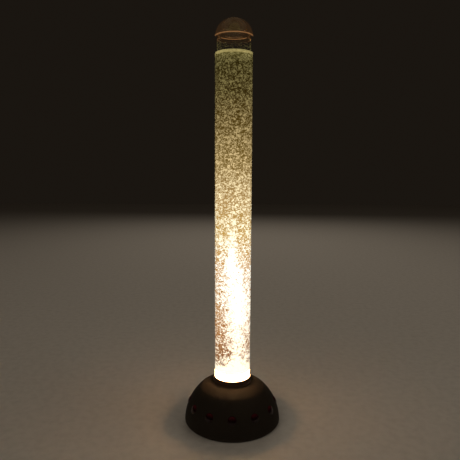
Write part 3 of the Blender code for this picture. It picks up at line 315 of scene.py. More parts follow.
# The mist's curls, and what flecks, clouds and the core add: size, detail, stretch of noise and light
CURL_SIZE = 0.0048
CURL_TWIST = 1.6
CURL_CONTRAST = (0.45, 0.6)
MIST_LAYERS = ((0.0028, 1, (0.5, 0.7), (-0.06, 0.12)), (0.012, 2, NOISE_SPREAD, (-0.06, 0.04)))
CORE_LIFT = 0.2

# Floor plug: its light, and the depth of its glue line, which fades out between two distances
PLUG_LIGHT = (27, 15, 6.5)
GLUE_DEPTH = 0.006
GLUE_FADE = (0.0004, 0.0009)


def column_light(finish, share):
    """The column's colour at each height, from its dark to its bright side."""
    height = finish.ranged(finish.height(), (FLOOR_TOP, WATER_TOP))
    glare = finish.ranged(height, GLARE_HEIGHTS, (GLARE, 1))
    bright = finish.scaled(finish.ramp(height, BRIGHT_STOPS), glare)
    return finish.blend(share, finish.ramp(height, SHADE_STOPS), bright)


def glow_finish():
    """The lit mist in the column: curls of bright and dark, and the white core beside the plume."""
    finish = Finish("column_glow", (30, 26, 20), 0.6)
    pattern = finish.grain(CURL_SIZE, distortion=CURL_TWIST)
    layers = [
        finish.ranged(finish.grain(size, detail=detail), across, onto)
        for size, detail, across, onto in MIST_LAYERS
    ]
    for part in (*layers, finish.maths("MULTIPLY", finish.attribute("core"), CORE_LIFT)):
        pattern = finish.maths("ADD", pattern, part)
    finish.shine(column_light(finish, finish.ranged(pattern, CURL_CONTRAST)))
    return finish.material


def bubble_finish():
    """Air bubbles with painted light, as if lit from below. The value that the mesh holds for each corner
    says how bright each side of a bubble is.
    """
    finish = Finish("lit_bubbles", (30, 26, 20), 0.12, specular_ior_level=0.2)
    finish.shine(column_light(finish, finish.attribute("painted_glow")))
    finish.material.cycles.emission_sampling = "NONE"
    return finish.material


def froth_finish():
    """The layer of froth under the water's surface, brightest along the wall."""
    finish = Finish("surface_froth", (40, 37, 24), 0.5)
    across = finish.node("ShaderNodeVectorMath", {0: finish.place((1, 1, 0))}, operation="LENGTH")
    rim = finish.ranged(across.outputs["Value"], (BORE_RADIUS - 0.016, BORE_RADIUS - 0.001))
    light = finish.blend(rim, screen_colour(98, 90, 48), screen_colour(168, 154, 100))
    clouds = finish.ranged(finish.grain(0.006), onto=(0.75, 1.2))
    finish.shine(finish.scaled(light, clouds))
    finish.bump(finish.grain(0.002, detail=1), 0.0004)
    return finish.material


def floor_finish():
    """The clear floor plug, filled with light, a little less bright at its glue line."""
    finish = Finish("lit_floor_plug", (230, 226, 215), 0.25)
    depth = finish.maths("ABSOLUTE", finish.maths("SUBTRACT", finish.height(), FLOOR_TOP - GLUE_DEPTH))
    clouds = finish.ranged(finish.grain(0.012, detail=3), onto=(0.88, 1.0))
    light = finish.maths("MULTIPLY", finish.ranged(depth, GLUE_FADE, (0.55, 1)), clouds)
    finish.shine(finish.scaled(PLUG_LIGHT, light))
    return finish.material


def jewel_finish():
    """Clear dark red acrylic."""
    finish = Finish(
        "red_acrylic", (92, 30, 36), 0.16, transmission_weight=0.9, ior=1.49, specular_ior_level=0.12
    )
    finish.bump(finish.grain(0.004), 0.00003)
    return finish.material


def foil_finish():
    """The faceted back of a jewel, with a painted glow that fades towards its foot."""
    finish = Finish("jewel_facets", (60, 18, 22), 0.2, metallic=0.8)
    finish.shine(finish.scaled(screen_colour(72, 30, 34)[:3], finish.attribute("painted_glow")))
    return finish.material


ACRYLIC = clear_finish("clear_acrylic_polished", (255, 254, 250), 1.49, 0.0, 0.05, 0.00006, (1, 1, 0.15))
# The cap's warm glow inside is painted light.
CAP_ACRYLIC = clear_finish("cap_acrylic", (255, 250, 240), 1.49, 0.0, 0.02, 0.0001, glow=1.35)
# Painted glow on the lit edges of the acrylic.
EDGE_ACRYLIC = clear_finish(
    "edge_lit_acrylic", (255, 236, 214), 1.49, 0.1, 0.004, 0.00005, transmission_weight=0.9,
    emission_color=screen_colour(150, 104, 62), emission_strength=0.45,
)
WATER = clear_finish("still_water", (255, 253, 244), 1.33, 0.0, 0.01, 0.00005)
SHELL = shell_finish()
GLOW = glow_finish()
BUBBLES = bubble_finish()
FROTH = froth_finish()
FLOOR_PLUG = floor_finish()
JEWEL = jewel_finish()
FOIL = foil_finish()
GLOSS_BLACK = moulded("gloss_black", (70, 44, 28), (80, 52, 34), 0.4, 0.006, 0.00003)
FRAME_BLACK = moulded("black_moulding", (26, 25, 24), (42, 40, 37), 0.45)
ROCKER_GREY = moulded("rocker_moulding", (38, 37, 36), (56, 54, 51), 0.3, 0.0004)
PAINT = moulded("mark_paint", (214, 210, 200), (180, 176, 166), 0.5, 0.0004)
NICKEL = metal("nickel_contact", (196, 190, 178), (150, 144, 132), 0.22)

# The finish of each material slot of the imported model, where its solid stays
SLOT_FINISHES = {
    "black_plastic": FRAME_BLACK,
    "grey_plastic": moulded("grey_housing", (112, 112, 114), (134, 133, 130), 0.5),
    "black_rubber": moulded("black_rubber_matt", (30, 29, 28), (46, 44, 42), 0.82, 0.0009, 0.00006),
    "brass": metal("turned_brass", (198, 158, 92), (150, 116, 62), 0.28, 0.0006, (1, 1, 6)),
    "zinc_plated_steel": metal("zinc_plate", (190, 190, 186), (148, 150, 150), 0.34),
    "mirrored_glass": metal("mirror_coating", (232, 230, 222), (206, 200, 188), 0.1, 0.003),
    "quartz_glass": clear_finish("quartz", (255, 255, 252), 1.46, 0.03, 0.004, 0.00002),
    "white_ceramic": moulded("steatite", (222, 220, 212), (202, 196, 182), 0.62, 0.0012, 0.00005),
    "aluminium_sheet": metal(
        "rolled_aluminium", (206, 206, 208), (176, 176, 178), 0.36, 0.0006, (1, 1, 0.06)
    ),
    "ferrite_magnet": moulded("sintered_ferrite", (54, 54, 58), (72, 72, 74), 0.6, 0.001, 0.00008),
    "enamelled_copper": metal("enamelled_winding", (176, 92, 48), (132, 62, 30), 0.3, 0.0005, (1, 1, 0.1)),
    "clear_silicone": clear_finish("silicone_hose", (226, 228, 222), 1.41, 0.35, 0.003, 0.00004, (1, 1, 0.3)),
    "red_wire": moulded("red_insulation", (158, 26, 22), (128, 20, 18), 0.45),
    "black_wire": moulded("black_insulation", (24, 24, 24), (40, 39, 38), 0.45),
}


def finish_nodes():
    """Give every solid of the frame its finish."""
    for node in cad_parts.values():
        for slot in node.material_slots:
            slot.material = SLOT_FINISHES.get(slot.material.name, slot.material)


def is_open(profile):
    """Whether a profile runs from the axis back to it, instead of round in a ring."""
    return profile[0][0] < MERGE_DISTANCE


def rounded(profile, radius):
    """The profile with a small curve in place of each sharp corner."""
    points = [Vector(point) for point in profile]
    curve = []
    for index, corner in enumerate(points):
        before, after = points[index - 1], points[(index + 1) % len(points)]
        come, go = corner - before, after - corner
        at_end = is_open(profile) and index in (0, len(points) - 1)
        if at_end or come.angle(go) < CORNER_ANGLE:
            curve.append(corner)
            continue
        start = corner - come.normalized() * min(radius, come.length / FILLET_LIMIT)
        end = corner + go.normalized() * min(radius, go.length / FILLET_LIMIT)
        for step in range(FILLET_STEPS + 1):
            share = step / FILLET_STEPS
            curve.append(start.lerp(corner, share).lerp(corner.lerp(end, share), share))
    return curve


def arc(radius, crest, high_end, low_end, base=0.0, steps=ARC_STEPS):
    """Points (radius, height) down an ellipse between two heights above its centre at base."""
    start, end = asin(high_end / crest), asin(low_end / crest)
    turns = [start + (end - start) * step / steps for step in range(steps + 1)]
    return [(radius * max(0, cos(turn)), base + crest * sin(turn)) for turn in turns]


def rod(radius, start, end):
    """A profile out from the axis at one height and back to it at another."""
    return [(0, start), (radius, start), (radius, end), (0, end)]


def around(across, angle, height):
    """A place by its distance from the axis, its angle and its height."""
    return Vector((across * cos(angle), across * sin(angle), height))


def show(name, data):
    """Put data into the scene as an object."""
    obj = bpy.data.objects.new(name, data)
    bpy.context.scene.collection.objects.link(obj)
    return obj


def smooth(mesh):
    """Shade a mesh smooth but for its sharp edges."""
    mesh.shade_smooth()
    mesh.set_sharp_from_angle(angle=SHARP_ANGLE)


def give_values(mesh, name, values):
    """Let a mesh hold a value for each corner, for its finish."""
    mesh.attributes.new(name, "FLOAT", "POINT").data.foreach_set("value", values)


def bevel(shape, edges, width):
    bmesh.ops.bevel(shape, geom=edges, offset=width, segments=BEVEL_STEPS, profile=0.5, affect="EDGES")


# Edges and faces are put in order along this, because bmesh can leave them in another one each run
SORT_AXIS = Vector((0.62, 0.75, 0.57))


class Piece:
    """A mesh put together from closed shapes, each with one of the piece's finishes."""

    def __init__(self, name, *materials):
        self.name = name
        self.materials = materials
        self.mesh = bpy.data.meshes.new(name)
        for material in materials:
            self.mesh.materials.append(material)

    def add(self, shape, place=None, material=None):
        """Put a bmesh into the piece, then free it."""
        bmesh.ops.remove_doubles(shape, verts=shape.verts, dist=MERGE_DISTANCE)
        bmesh.ops.recalc_face_normals(shape, faces=shape.faces)
        for parts in (shape.edges, shape.faces):
            parts.sort(key=lambda part: sum(vert.co.dot(SORT_AXIS) for vert in part.verts))
        if place:
            shape.transform(place)
        for face in shape.faces:
            face.material_index = self.materials.index(material) if material else 0
        shape.from_mesh(self.mesh)
        shape.to_mesh(self.mesh)
        shape.free()

    def turn(self, profile, fillet=0, sides=TUBE_SIDES, place=None, material=None):
        """A profile of (radius, height), with its corners rounded, turned about Z."""
        if fillet:
            profile = rounded(profile, fillet)
        shape = bmesh.new()
        points = [shape.verts.new((radius, 0, height)) for radius, height in profile]
        pairs = list(zip(points, points[1:]))
        if not is_open(profile):
            pairs.append((points[-1], points[0]))
        edges = [shape.edges.new(pair) for pair in pairs]
        bmesh.ops.spin(shape, geom=[*points, *edges], axis=(0, 0, 1), angle=tau, steps=sides, use_merge=True)
        self.add(shape, place, material)

    def block(self, lowest, highest, edge, place=None, material=None):
        """A box between two corners, with rounded edges."""
        shape = bmesh.new()
        bmesh.ops.create_cube(shape, size=1)
        for vert in shape.verts:
            vert.co = [bottom if side < 0 else top for side, bottom, top in zip(vert.co, lowest, highest)]
        bevel(shape, shape.edges, edge)
        self.add(shape, place, material)

    def object(self):
        smooth(self.mesh)
        return show(self.name, self.mesh)


def turned(name, profile, fillet, *materials, **how):
    """An object of one turned shape."""
    piece = Piece(name, *materials)
    piece.turn(profile, fillet, **how)
    return piece.object()


def settle(obj, body, slot, *nodes):
    """Say what a piece rides on, and the solids that it stands for. Its material slot argument is not used.
    """
    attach(obj, body)
    if nodes:
        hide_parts(*nodes)
    return obj


def carve(obj, cutter, operation="DIFFERENCE"):
    """Cut a piece with another shape, or join them, and drop that shape."""
    change = obj.modifiers.new("carve", "BOOLEAN")
    change.operation = operation
    change.object = cutter
    change.solver = "EXACT"
    bpy.context.view_layer.update()
    evaluated = obj.evaluated_get(bpy.context.evaluated_depsgraph_get())
    mesh = bpy.data.meshes.new_from_object(evaluated)
    obj.modifiers.clear()
    obj.data = mesh
    bpy.data.objects.remove(cutter, do_unlink=True)
    smooth(mesh)


def dome_frame(azimuth, height):
    """A place on the dome: X level, Y up the dome, Z straight out. Azimuth 0 is the front."""
    radius = BASE_RADIUS * sqrt(1 - (height / DOME_CREST) ** 2)
    outward = Vector((sin(azimuth), -cos(azimuth), 0))
    level = Vector((cos(azimuth), sin(azimuth), 0))
    normal = outward * (radius / BASE_RADIUS**2) + Vector((0, 0, height / DOME_CREST**2))
    normal.normalize()
    place = Matrix((level, normal.cross(level), normal)).transposed().to_4x4()
    place.translation = outward * radius + Vector((0, 0, height))
    return place


JEWEL_PLACES = [dome_frame(index * JEWEL_PITCH, JEWEL_HEIGHT) for index in range(JEWEL_COUNT)]


def light_edge(obj, is_edge):
    """Give the faces of a clear piece's edge their own finish, the second one, which has painted glow."""
    for face in obj.data.polygons:
        if is_edge(face.center):
            face.material_index = 1


def make_tube():
    """The clear tube, with light at the corners of its mouth."""
    walls = [
        (TUBE_RADIUS, RIM_HEIGHT), (TUBE_RADIUS, TUBE_BOTTOM),
        (BORE_RADIUS, TUBE_BOTTOM), (BORE_RADIUS, RIM_HEIGHT - EDGE_REACH), (BORE_RADIUS, RIM_HEIGHT),
    ]
    tube = turned("tube_clear", walls, 0.0006, ACRYLIC, EDGE_ACRYLIC)

    def at_corner(place):
        across, depth = place.xy.length, RIM_HEIGHT - place.z
        if across < BORE_RADIUS + CORNER_WIDTH:
            return depth < EDGE_REACH
        return across > TUBE_RADIUS - CORNER_WIDTH and depth < CORNER_WIDTH

    light_edge(tube, at_corner)
    settle(tube, "base", "clear_acrylic", "tube").visible_shadow = False


def make_cap():
    """The lift-off dome, on its flange, with the skirt that plugs the tube."""
    seat = RIM_HEIGHT + SEAT_GAP
    flange_top = seat + CAP_FLANGE_THICKNESS
    rise = CAP_TOP - flange_top
    dome_foot = TUBE_RADIUS - CAP_LEDGE
    skirt_radius = BORE_RADIUS - SEAT_GAP
    skirt_inner = skirt_radius - CAP_SKIRT_WALL
    hollow_rise = CAP_TOP - CAP_CROWN_WALL - seat
    profile = [
        *arc(dome_foot, rise, rise, CAP_DOME_FOOT, base=flange_top),
        (dome_foot, flange_top), (TUBE_RADIUS, flange_top),
        (TUBE_RADIUS, seat + LIT_LINE), (TUBE_RADIUS, seat),
        (skirt_radius, seat), (skirt_radius, CAP_BOTTOM), (skirt_inner, CAP_BOTTOM),
        *reversed(arc(skirt_inner, hollow_rise, hollow_rise, 0, base=seat)),
    ]
    cap = turned("cap_clear", profile, 0.0007, CAP_ACRYLIC, EDGE_ACRYLIC)
    light_edge(cap, lambda place: place.xy.length > TUBE_RADIUS - CORNER_WIDTH and place.z < seat + LIT_LINE)
    settle(cap, "cap", "clear_acrylic", "dome_cap").visible_shadow = False


# Water's surface
MENISCUS_RISE = 0.0018
MENISCUS_WIDTH = 0.004
CALM_LEVEL = WATER_TOP - MENISCUS_RISE
RIPPLE_HEIGHT = 0.0012
RIPPLE_SIZE = 0.012
SURFACE_RINGS = 16


def make_water():
    """The water, with a stirred surface that climbs a little at the wall."""
    radius = BORE_RADIUS + GLASS_OVERLAP
    profile = [(0, FLOOR_TOP + SEAT_GAP), (radius, FLOOR_TOP + SEAT_GAP), (radius, WATER_TOP)]
    profile += [(radius * (1 - ring / SURFACE_RINGS), CALM_LEVEL) for ring in range(1, SURFACE_RINGS + 1)]
    water = turned("water_clear", profile, 0, WATER)
    for vert in water.data.vertices:
        if vert.co.z > WATER_TOP - 2 * MENISCUS_RISE:
            calm = 1 - max(0, 1 - (radius - vert.co.xy.length) / MENISCUS_WIDTH) ** 2
            ripple = noise.noise(vert.co / RIPPLE_SIZE) - 0.5
            vert.co.z = WATER_TOP - MENISCUS_RISE * calm + calm * ripple * RIPPLE_HEIGHT
    settle(water, "base", "water", "water_column").visible_shadow = False


# The white core of the column, beside the plume, where light is painted brightest: share of the height,
# middle and half width
CORE_PATH = (
    (0.010, 0.000, 0.060), (0.026, 0.008, 0.024), (0.06, 0.010, 0.012), (0.10, 0.010, 0.010),
    (0.16, 0.009, 0.019), (0.22, 0.009, 0.024), (0.28, 0.006, 0.023), (0.34, 0.000, 0.018),
    (0.38, -0.001, 0.013), (0.42, -0.003, 0.008), (0.47, -0.001, 0.000), (0.56, 0.000, -0.012),
)
CORE_SOFTNESS = 0.022
CORE_WANDER = 0.009
CORE_LUMP_SIZE = 0.009
CORE_MOST = 1.6
DENSE_CORE = -1.0
DENSE_SHARE = 0.2


def lumps(place, size, fade):
    """Noise with three layers of lumps, the largest of about this size."""
    return noise.fractal(place / size, fade, 2.0, 3)


def core_share(place):
    """How far a place is in the column's white core of painted light: over 1 deep inside, under 0 in the
    dense plume, where shade is painted.
    """
    share = (place.z - FLOOR_TOP) / (WATER_TOP - FLOOR_TOP)
    share = min(max(share, CORE_PATH[0][0]), CORE_PATH[-1][0])
    for low_stop, high_stop in zip(CORE_PATH, CORE_PATH[1:]):
        if share <= high_stop[0]:
            break
    along = (share - low_stop[0]) / (high_stop[0] - low_stop[0])
    middle, half = (start + (end - start) * along for start, end in zip(low_stop[1:], high_stop[1:]))
    wander = CORE_WANDER * lumps(place, CORE_LUMP_SIZE, 0.8)
    dense = DENSE_CORE * max(0, 1 - share / DENSE_SHARE)
    lit = 0.5 + (half + wander - abs(place.x - middle)) / CORE_SOFTNESS
    return min(CORE_MOST, max(dense, lit))


# The heart of the column
HEART_RADIUS = 0.0305
HEART_CELL = 0.0018
HEART_LUMP = 0.00144
HEART_LUMP_SIZE = 0.007
HEART_LUMP_STRETCH = 0.7
HEART_TOP_GAP = 0.0055
HEART_BOTTOM_GAP = 0.001


def make_heart():
    """The lit mist of fine bubbles inside the column, as one lumpy closed shape."""
    sides = round(tau * HEART_RADIUS / HEART_CELL)
    bottom, top = FLOOR_TOP + HEART_BOTTOM_GAP, WATER_TOP - HEART_TOP_GAP
    rings = round((top - bottom) / HEART_CELL)
    wall = [(HEART_RADIUS, bottom + (top - bottom) * ring / rings) for ring in range(rings + 1)]
    heart = turned("column_heart", [(0, bottom), *wall, (0, top)], 0, GLOW, sides=sides)
    for vert in heart.data.vertices:
        if vert.co.xy.length > HEART_RADIUS / 2:
            level = Vector((vert.co.x, vert.co.y, 0)).normalized()
            spot = level * HEART_RADIUS + Vector((0, 0, vert.co.z * HEART_LUMP_STRETCH))
            vert.co.xy = level.xy * (HEART_RADIUS + HEART_LUMP * lumps(spot, HEART_LUMP_SIZE, 0.9))
    give_values(heart.data, "core", [core_share(vert.co) for vert in heart.data.vertices])
    settle(heart, "base", "water")


# Froth under the surface
FROTH_THICKNESS = 0.0022
FROTH_RINGS = 14
FROTH_LUMP = 0.0009


def make_froth():
    """A thin layer of froth that floats on the water, lumpy on both sides."""
    top, bottom = CALM_LEVEL - RIPPLE_HEIGHT, CALM_LEVEL - FROTH_THICKNESS
    steps = [(BORE_RADIUS - WALL_GAP) * ring / FROTH_RINGS for ring in range(FROTH_RINGS + 1)]
    profile = [(across, bottom) for across in steps] + [(across, top) for across in reversed(steps)]
    froth = turned("froth_layer", profile, 0, FROTH)
    for vert in froth.data.vertices:
        side = 1 if vert.co.z > (top + bottom) / 2 else -1
        vert.co.z += FROTH_LUMP * noise.noise(vert.co / RIPPLE_SIZE * 2) + side * FROTH_LUMP / 4
    settle(froth, "base", "water")


# Shape of a bubble: how far it tilts, its stretch, how its lit side leans, and how light gathers there
BUBBLE_TILT = 0.6
BUBBLE_STRETCH = (0.85, 1.15)
LIT_SIDE_DROP = -1.2
LIT_SIDE_POWER = 2.5
LIT_SIDE_TONE = 1.3


def wall_reach(radius):
    """How far from the axis the middle of a bubble can be."""
    return BORE_RADIUS - WALL_GAP - radius * BUBBLE_STRETCH[1]


class Cloud:
    """Many bubbles as one mesh, with the brightness of each corner."""

    def __init__(self, seed, subdivisions):
        self.chance = random.Random(seed)
        ball = bmesh.new()
        bmesh.ops.create_icosphere(ball, subdivisions=subdivisions, radius=1)
        self.ball_corners = [vert.co.copy() for vert in ball.verts]
        self.ball_faces = [[vert.index for vert in face.verts] for face in ball.faces]
        ball.free()
        self.corners, self.faces, self.tones = [], [], []

    def add(self, centre, radius, flatness, dent, brightness):
        """One bubble: flattened, dented below, tilted, and brightest along one lower side."""
        chance = self.chance
        turn = Matrix.Rotation(chance.gauss(0, BUBBLE_TILT), 3, "X")
        turn = turn @ Matrix.Rotation(chance.gauss(0, BUBBLE_TILT), 3, "Y")
        turn = turn @ Matrix.Rotation(chance.uniform(0, tau), 3, "Z")
        long_side = chance.uniform(*BUBBLE_STRETCH)
        lit = around(1, chance.uniform(0, tau), LIT_SIDE_DROP).normalized()
        start = len(self.corners)
        for unit in self.ball_corners:
            squeeze = flatness * (1 - dent) if unit.z < 0 else flatness
            local = Vector((unit.x * long_side, unit.y / long_side, unit.z * squeeze))
            self.corners.append(centre + turn @ local * radius)
            facing = max(0, (turn @ unit).dot(lit))
            self.tones.append(min(1, brightness + facing**LIT_SIDE_POWER * (LIT_SIDE_TONE - brightness)))
        self.faces += [[start + index for index in face] for face in self.ball_faces]

    def settle(self, name):
        """Put the bubbles into the scene, in the water."""
        mesh = bpy.data.meshes.new(name)
        mesh.from_pydata(self.corners, [], self.faces)
        mesh.materials.append(BUBBLES)
        mesh.shade_smooth()
        give_values(mesh, "painted_glow", self.tones)
        settle(show(name, mesh), "base", "water")


# Bubbles between the heart and the tube's wall: name, seed, fineness, count and radii
BUBBLE_CLOUDS = (
    ("fine_bubbles", 7, 1, 4600, (0.0010, 0.0020)),
    ("large_bubbles", 8, 2, 2200, (0.0020, 0.0038)),
)
SMALL_BIAS = 1.8
WALL_BIAS = 1.5
BUBBLE_ZONE = 0.0075
BUBBLE_TOP_GAP = 0.0045
CORE_CLEAR = 0.55
CORE_TONE = 0.5
BUBBLE_TONES = (0.0, 0.35, 0.9)
TONE_ODDS = (5, 2, 3)

# The plume over the air nozzle: where it starts and fills the tube, its side, its width and the odds
PLUME_START = 0.011
PLUME_SHARE = 0.34
PLUME_ANGLE = pi
PLUME_WIDTH = 0.35
PLUME_GROWTH = 1.2
PLUME_ODDS = 0.75
STRAY_ODDS = 0.12

# Gap from the drops on the bore to the water and to the cap's skirt
SPRAY_GAP = 0.0022


def bubble_place(chance):
    """Angle and height of a bubble: from the air nozzle the plume widens until it fills the tube."""
    bottom, top = FLOOR_TOP + PLUME_START, WATER_TOP - BUBBLE_TOP_GAP
    while True:
        share = chance.random()
        spread = min(1, share / PLUME_SHARE)
        if chance.random() < PLUME_ODDS * (1 - spread):
            angle = PLUME_ANGLE + chance.gauss(0, PLUME_WIDTH + PLUME_GROWTH * spread)
        elif chance.random() < STRAY_ODDS + (1 - STRAY_ODDS) * spread**1.5:
            angle = chance.uniform(0, tau)
        else:
            continue
        return angle, bottom + share * (top - bottom)


def make_bubbles():
    """Bubbles along the tube's wall, few of them where the white core is."""
    for name, seed, fineness, count, (least, most) in BUBBLE_CLOUDS:
        cloud = Cloud(seed, fineness)
        chance = cloud.chance
        made = 0
        while made < count:
            angle, height = bubble_place(chance)
            radius = least + (most - least) * chance.random() ** SMALL_BIAS
            across = wall_reach(radius) - chance.random() ** WALL_BIAS * (BUBBLE_ZONE - 2 * radius)
            centre = around(across, angle, height)
            core = core_share(centre)
            if core * CORE_CLEAR > chance.random():
                continue
            made += 1
            painted_glow = chance.choices(BUBBLE_TONES, TONE_ODDS)[0] + CORE_TONE * core
            cloud.add(centre, radius, chance.uniform(0.5, 0.85), chance.uniform(0, 0.6), painted_glow)
        cloud.settle(name)


def scatter(name, seed, fineness, count, radii, shape, tones, spot):
    """Bubbles where spot(radius, chance) says: their distance from the axis and their height."""
    cloud = Cloud(seed, fineness)
    chance = cloud.chance
    for _ in range(count):
        radius = chance.uniform(*radii)
        angle = chance.uniform(0, tau)
        across, height = spot(radius, chance)
        cloud.add(around(across, angle, height), radius, *shape, chance.uniform(*tones))
    cloud.settle(name)


def make_foam():
    """Bubbles that float on the surface, most of them against the wall."""
    def spot(radius, chance):
        across = wall_reach(radius) * chance.random() ** 0.25
        return across, CALM_LEVEL - radius * chance.uniform(0.1, 0.8)

    scatter("surface_foam", 10, 2, 170, (0.0008, 0.0024), (0.9, 0.2), (0.7, 1.8), spot)


def make_spray():
    """Drops that bursting bubbles leave on the bore, fewer of them towards the cap. They glow with painted
    light from the bubbles' finish.
    """
    bottom, top = WATER_TOP + SPRAY_GAP, CAP_BOTTOM - SPRAY_GAP

    def spot(radius, chance):
        return wall_reach(radius), bottom + (top - bottom) * chance.random() ** 1.5

    scatter("spray_drops", 12, 1, 190, (0.0003, 0.0008), (0.8, 0.1), (-0.3, 0.1), spot)


def make_floor_plug():
    """The thick clear floor with the hole for the air nozzle."""
    radius, hole_radius = BORE_RADIUS + GLASS_OVERLAP, NOZZLE_RADIUS + SEAT_GAP
    plug = turned("floor_plug", rod(radius, FLOOR_TOP, FLOOR_BOTTOM), 0.0005, FLOOR_PLUG)
    hole = rod(hole_radius, FLOOR_TOP + OVERRUN, FLOOR_BOTTOM - OVERRUN)
    nozzle_low, nozzle_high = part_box("air_nozzle")
    over_nozzle = Matrix.Translation(((nozzle_low.x + nozzle_high.x) / 2, 0, 0))
    carve(plug, turned("nozzle_hole", hole, 0, FLOOR_PLUG, sides=SMALL_SIDES, place=over_nozzle))
    settle(plug, "base", "clear_acrylic", "tube_floor")


# The collar's groove and stepped top: steps in from its radius, and up from its middle
COLLAR_MIDDLE = 0.0075
COLLAR_STEPS = ((0.0006, 0.0007), (0.0013, 0.0004), (0.0013, -0.0002), (0, -0.0006))


def make_collar():
    """The glossy ring round the tube's foot, with a groove and a stepped top."""
    middle = COLLAR_BOTTOM + COLLAR_MIDDLE
    profile = [
        (COLLAR_RADIUS - 0.0014, COLLAR_TOP), (COLLAR_RADIUS - 0.0006, COLLAR_TOP - 0.0009),
        *((COLLAR_RADIUS - inset, middle + rise) for inset, rise in COLLAR_STEPS),
        (COLLAR_RADIUS, COLLAR_BOTTOM), (SOCKET_RADIUS, COLLAR_BOTTOM), (SOCKET_RADIUS, COLLAR_TOP),
    ]
    settle(turned("foot_collar", profile, 0.0004, GLOSS_BLACK), "base", "black_plastic", "tube_collar")


def make_bosses():
    """Screw bosses that grow from the plate up into the dome's wall."""
    bosses = Piece("bosses", SHELL)
    radius, crest = BASE_RADIUS - BASE_WALL / 2, DOME_CREST - BASE_WALL / 2
    for x, y in BOSS_PLACES:
        shape = bmesh.new()
        bmesh.ops.create_cone(
            shape, cap_ends=True, cap_tris=True, segments=SMALL_SIDES,
            radius1=BOSS_RADIUS, radius2=BOSS_RADIUS, depth=2,
        )
        for vert in shape.verts:
            across = Vector((vert.co.x + x, vert.co.y + y)).length
            height = crest * sqrt(1 - (across / radius) ** 2) if vert.co.z > 0 else PLATE_TOP + SEAT_GAP
            vert.co = (vert.co.x + x, vert.co.y + y, height)
        bosses.add(shape)
    return bosses.object()


def seat_cutters():
    """What is cut out of the shell: seats for jewels, inlet and switch, and the bosses' holes."""
    cutters = Piece("seat_cutters", SHELL)
    through = -3 * BASE_WALL
    seat_radius, hole_radius = JEWEL_RADIUS + SEAT_GAP, JEWEL_STUD_RADIUS + SEAT_GAP
    mouth_radius = seat_radius + 2 * JEWEL_SEAT_FLARE
    seat = [
        (0, JEWEL_RISE), (mouth_radius, JEWEL_RISE), (mouth_radius, JEWEL_SEAT_FLARE / 2),
        (seat_radius, -JEWEL_SEAT_FLARE), (seat_radius, -JEWEL_SEAT_DEPTH),
        (hole_radius, -JEWEL_SEAT_DEPTH), (hole_radius, through), (0, through),
    ]
    for place in JEWEL_PLACES:
        cutters.turn(seat, 0, JEWEL_SIDES, place)
    flange, barrel = INLET_FLANGE_RADIUS + SEAT_GAP, INLET_BARREL_RADIUS + SEAT_GAP
    inlet = [
        (0, OVERRUN), (flange, OVERRUN), (flange, -REAR_SEAT_DEPTH), (barrel, -REAR_SEAT_DEPTH),
        (barrel, through), (0, through),
    ]
    cutters.turn(inlet, 0, JEWEL_SIDES, INLET_PLACE)
    switch_block(cutters, -SEAT_GAP, -SEAT_GAP, -REAR_SEAT_DEPTH, OVERRUN, 0.0004)
    switch_block(cutters, SWITCH_RIM - SEAT_GAP, SWITCH_RIM - SEAT_GAP, through, 0, 0.0004)
    hole = rod(BOSS_HOLE_RADIUS, PLATE_TOP - OVERRUN, PLATE_TOP + BOSS_HOLE_DEPTH)
    for x, y in BOSS_PLACES:
        cutters.turn(hole, 0, SMALL_SIDES, Matrix.Translation((x, y, 0)))
    return cutters.object()


# Curve from the land round the collar into the dome
SHOULDER_START = COLLAR_RADIUS + 0.001
SHOULDER_FOOT = 0.072
SHOULDER_STEPS = 10


def make_shell():
    """The domed base: a hollow moulding with the tube's socket, screw bosses and seats."""
    start, corner = Vector((SHOULDER_START, LAND_HEIGHT)), Vector((SHOULDER_RADIUS, LAND_HEIGHT))
    foot = Vector((SHOULDER_FOOT, DOME_CREST * sqrt(1 - (SHOULDER_FOOT / BASE_RADIUS) ** 2)))
    steps = [step / SHOULDER_STEPS for step in range(SHOULDER_STEPS)]
    shoulder = [start.lerp(corner, share).lerp(corner.lerp(foot, share), share) for share in steps]
    well_radius = SOCKET_RADIUS + BASE_WALL
    well_top = LAND_HEIGHT - BASE_WALL
    ledge_bottom = LEDGE_TOP - LEDGE_THICKNESS
    inside = arc(
        BASE_RADIUS - BASE_WALL, DOME_CREST - BASE_WALL, well_top, EDGE_HEIGHT, steps=INNER_ARC_STEPS
    )
    profile = [
        (SOCKET_RADIUS, LAND_HEIGHT), *shoulder, *arc(BASE_RADIUS, DOME_CREST, foot.y, EDGE_HEIGHT),
        *reversed(inside), (well_radius, well_top), (well_radius, ledge_bottom),
        (LEDGE_OPENING_RADIUS, ledge_bottom), (LEDGE_OPENING_RADIUS, LEDGE_TOP),
        (SOCKET_RADIUS, LEDGE_TOP),
    ]
    shell = turned("domed_shell", profile, 0.0012, SHELL, sides=SHELL_SIDES)
    carve(shell, make_bosses(), "UNION")
    carve(shell, seat_cutters())
    settle(shell, "base", "dark_shell_plastic", "base_shell")


# Facets on a jewel's back: each ring's share of the radius, and its rise
FACET_SIDES = 12
FACET_RINGS = ((0.3, 0.0011), (0.62, 0.0003), (0.9, 0.0010))
FACET_BASE = 0.0002


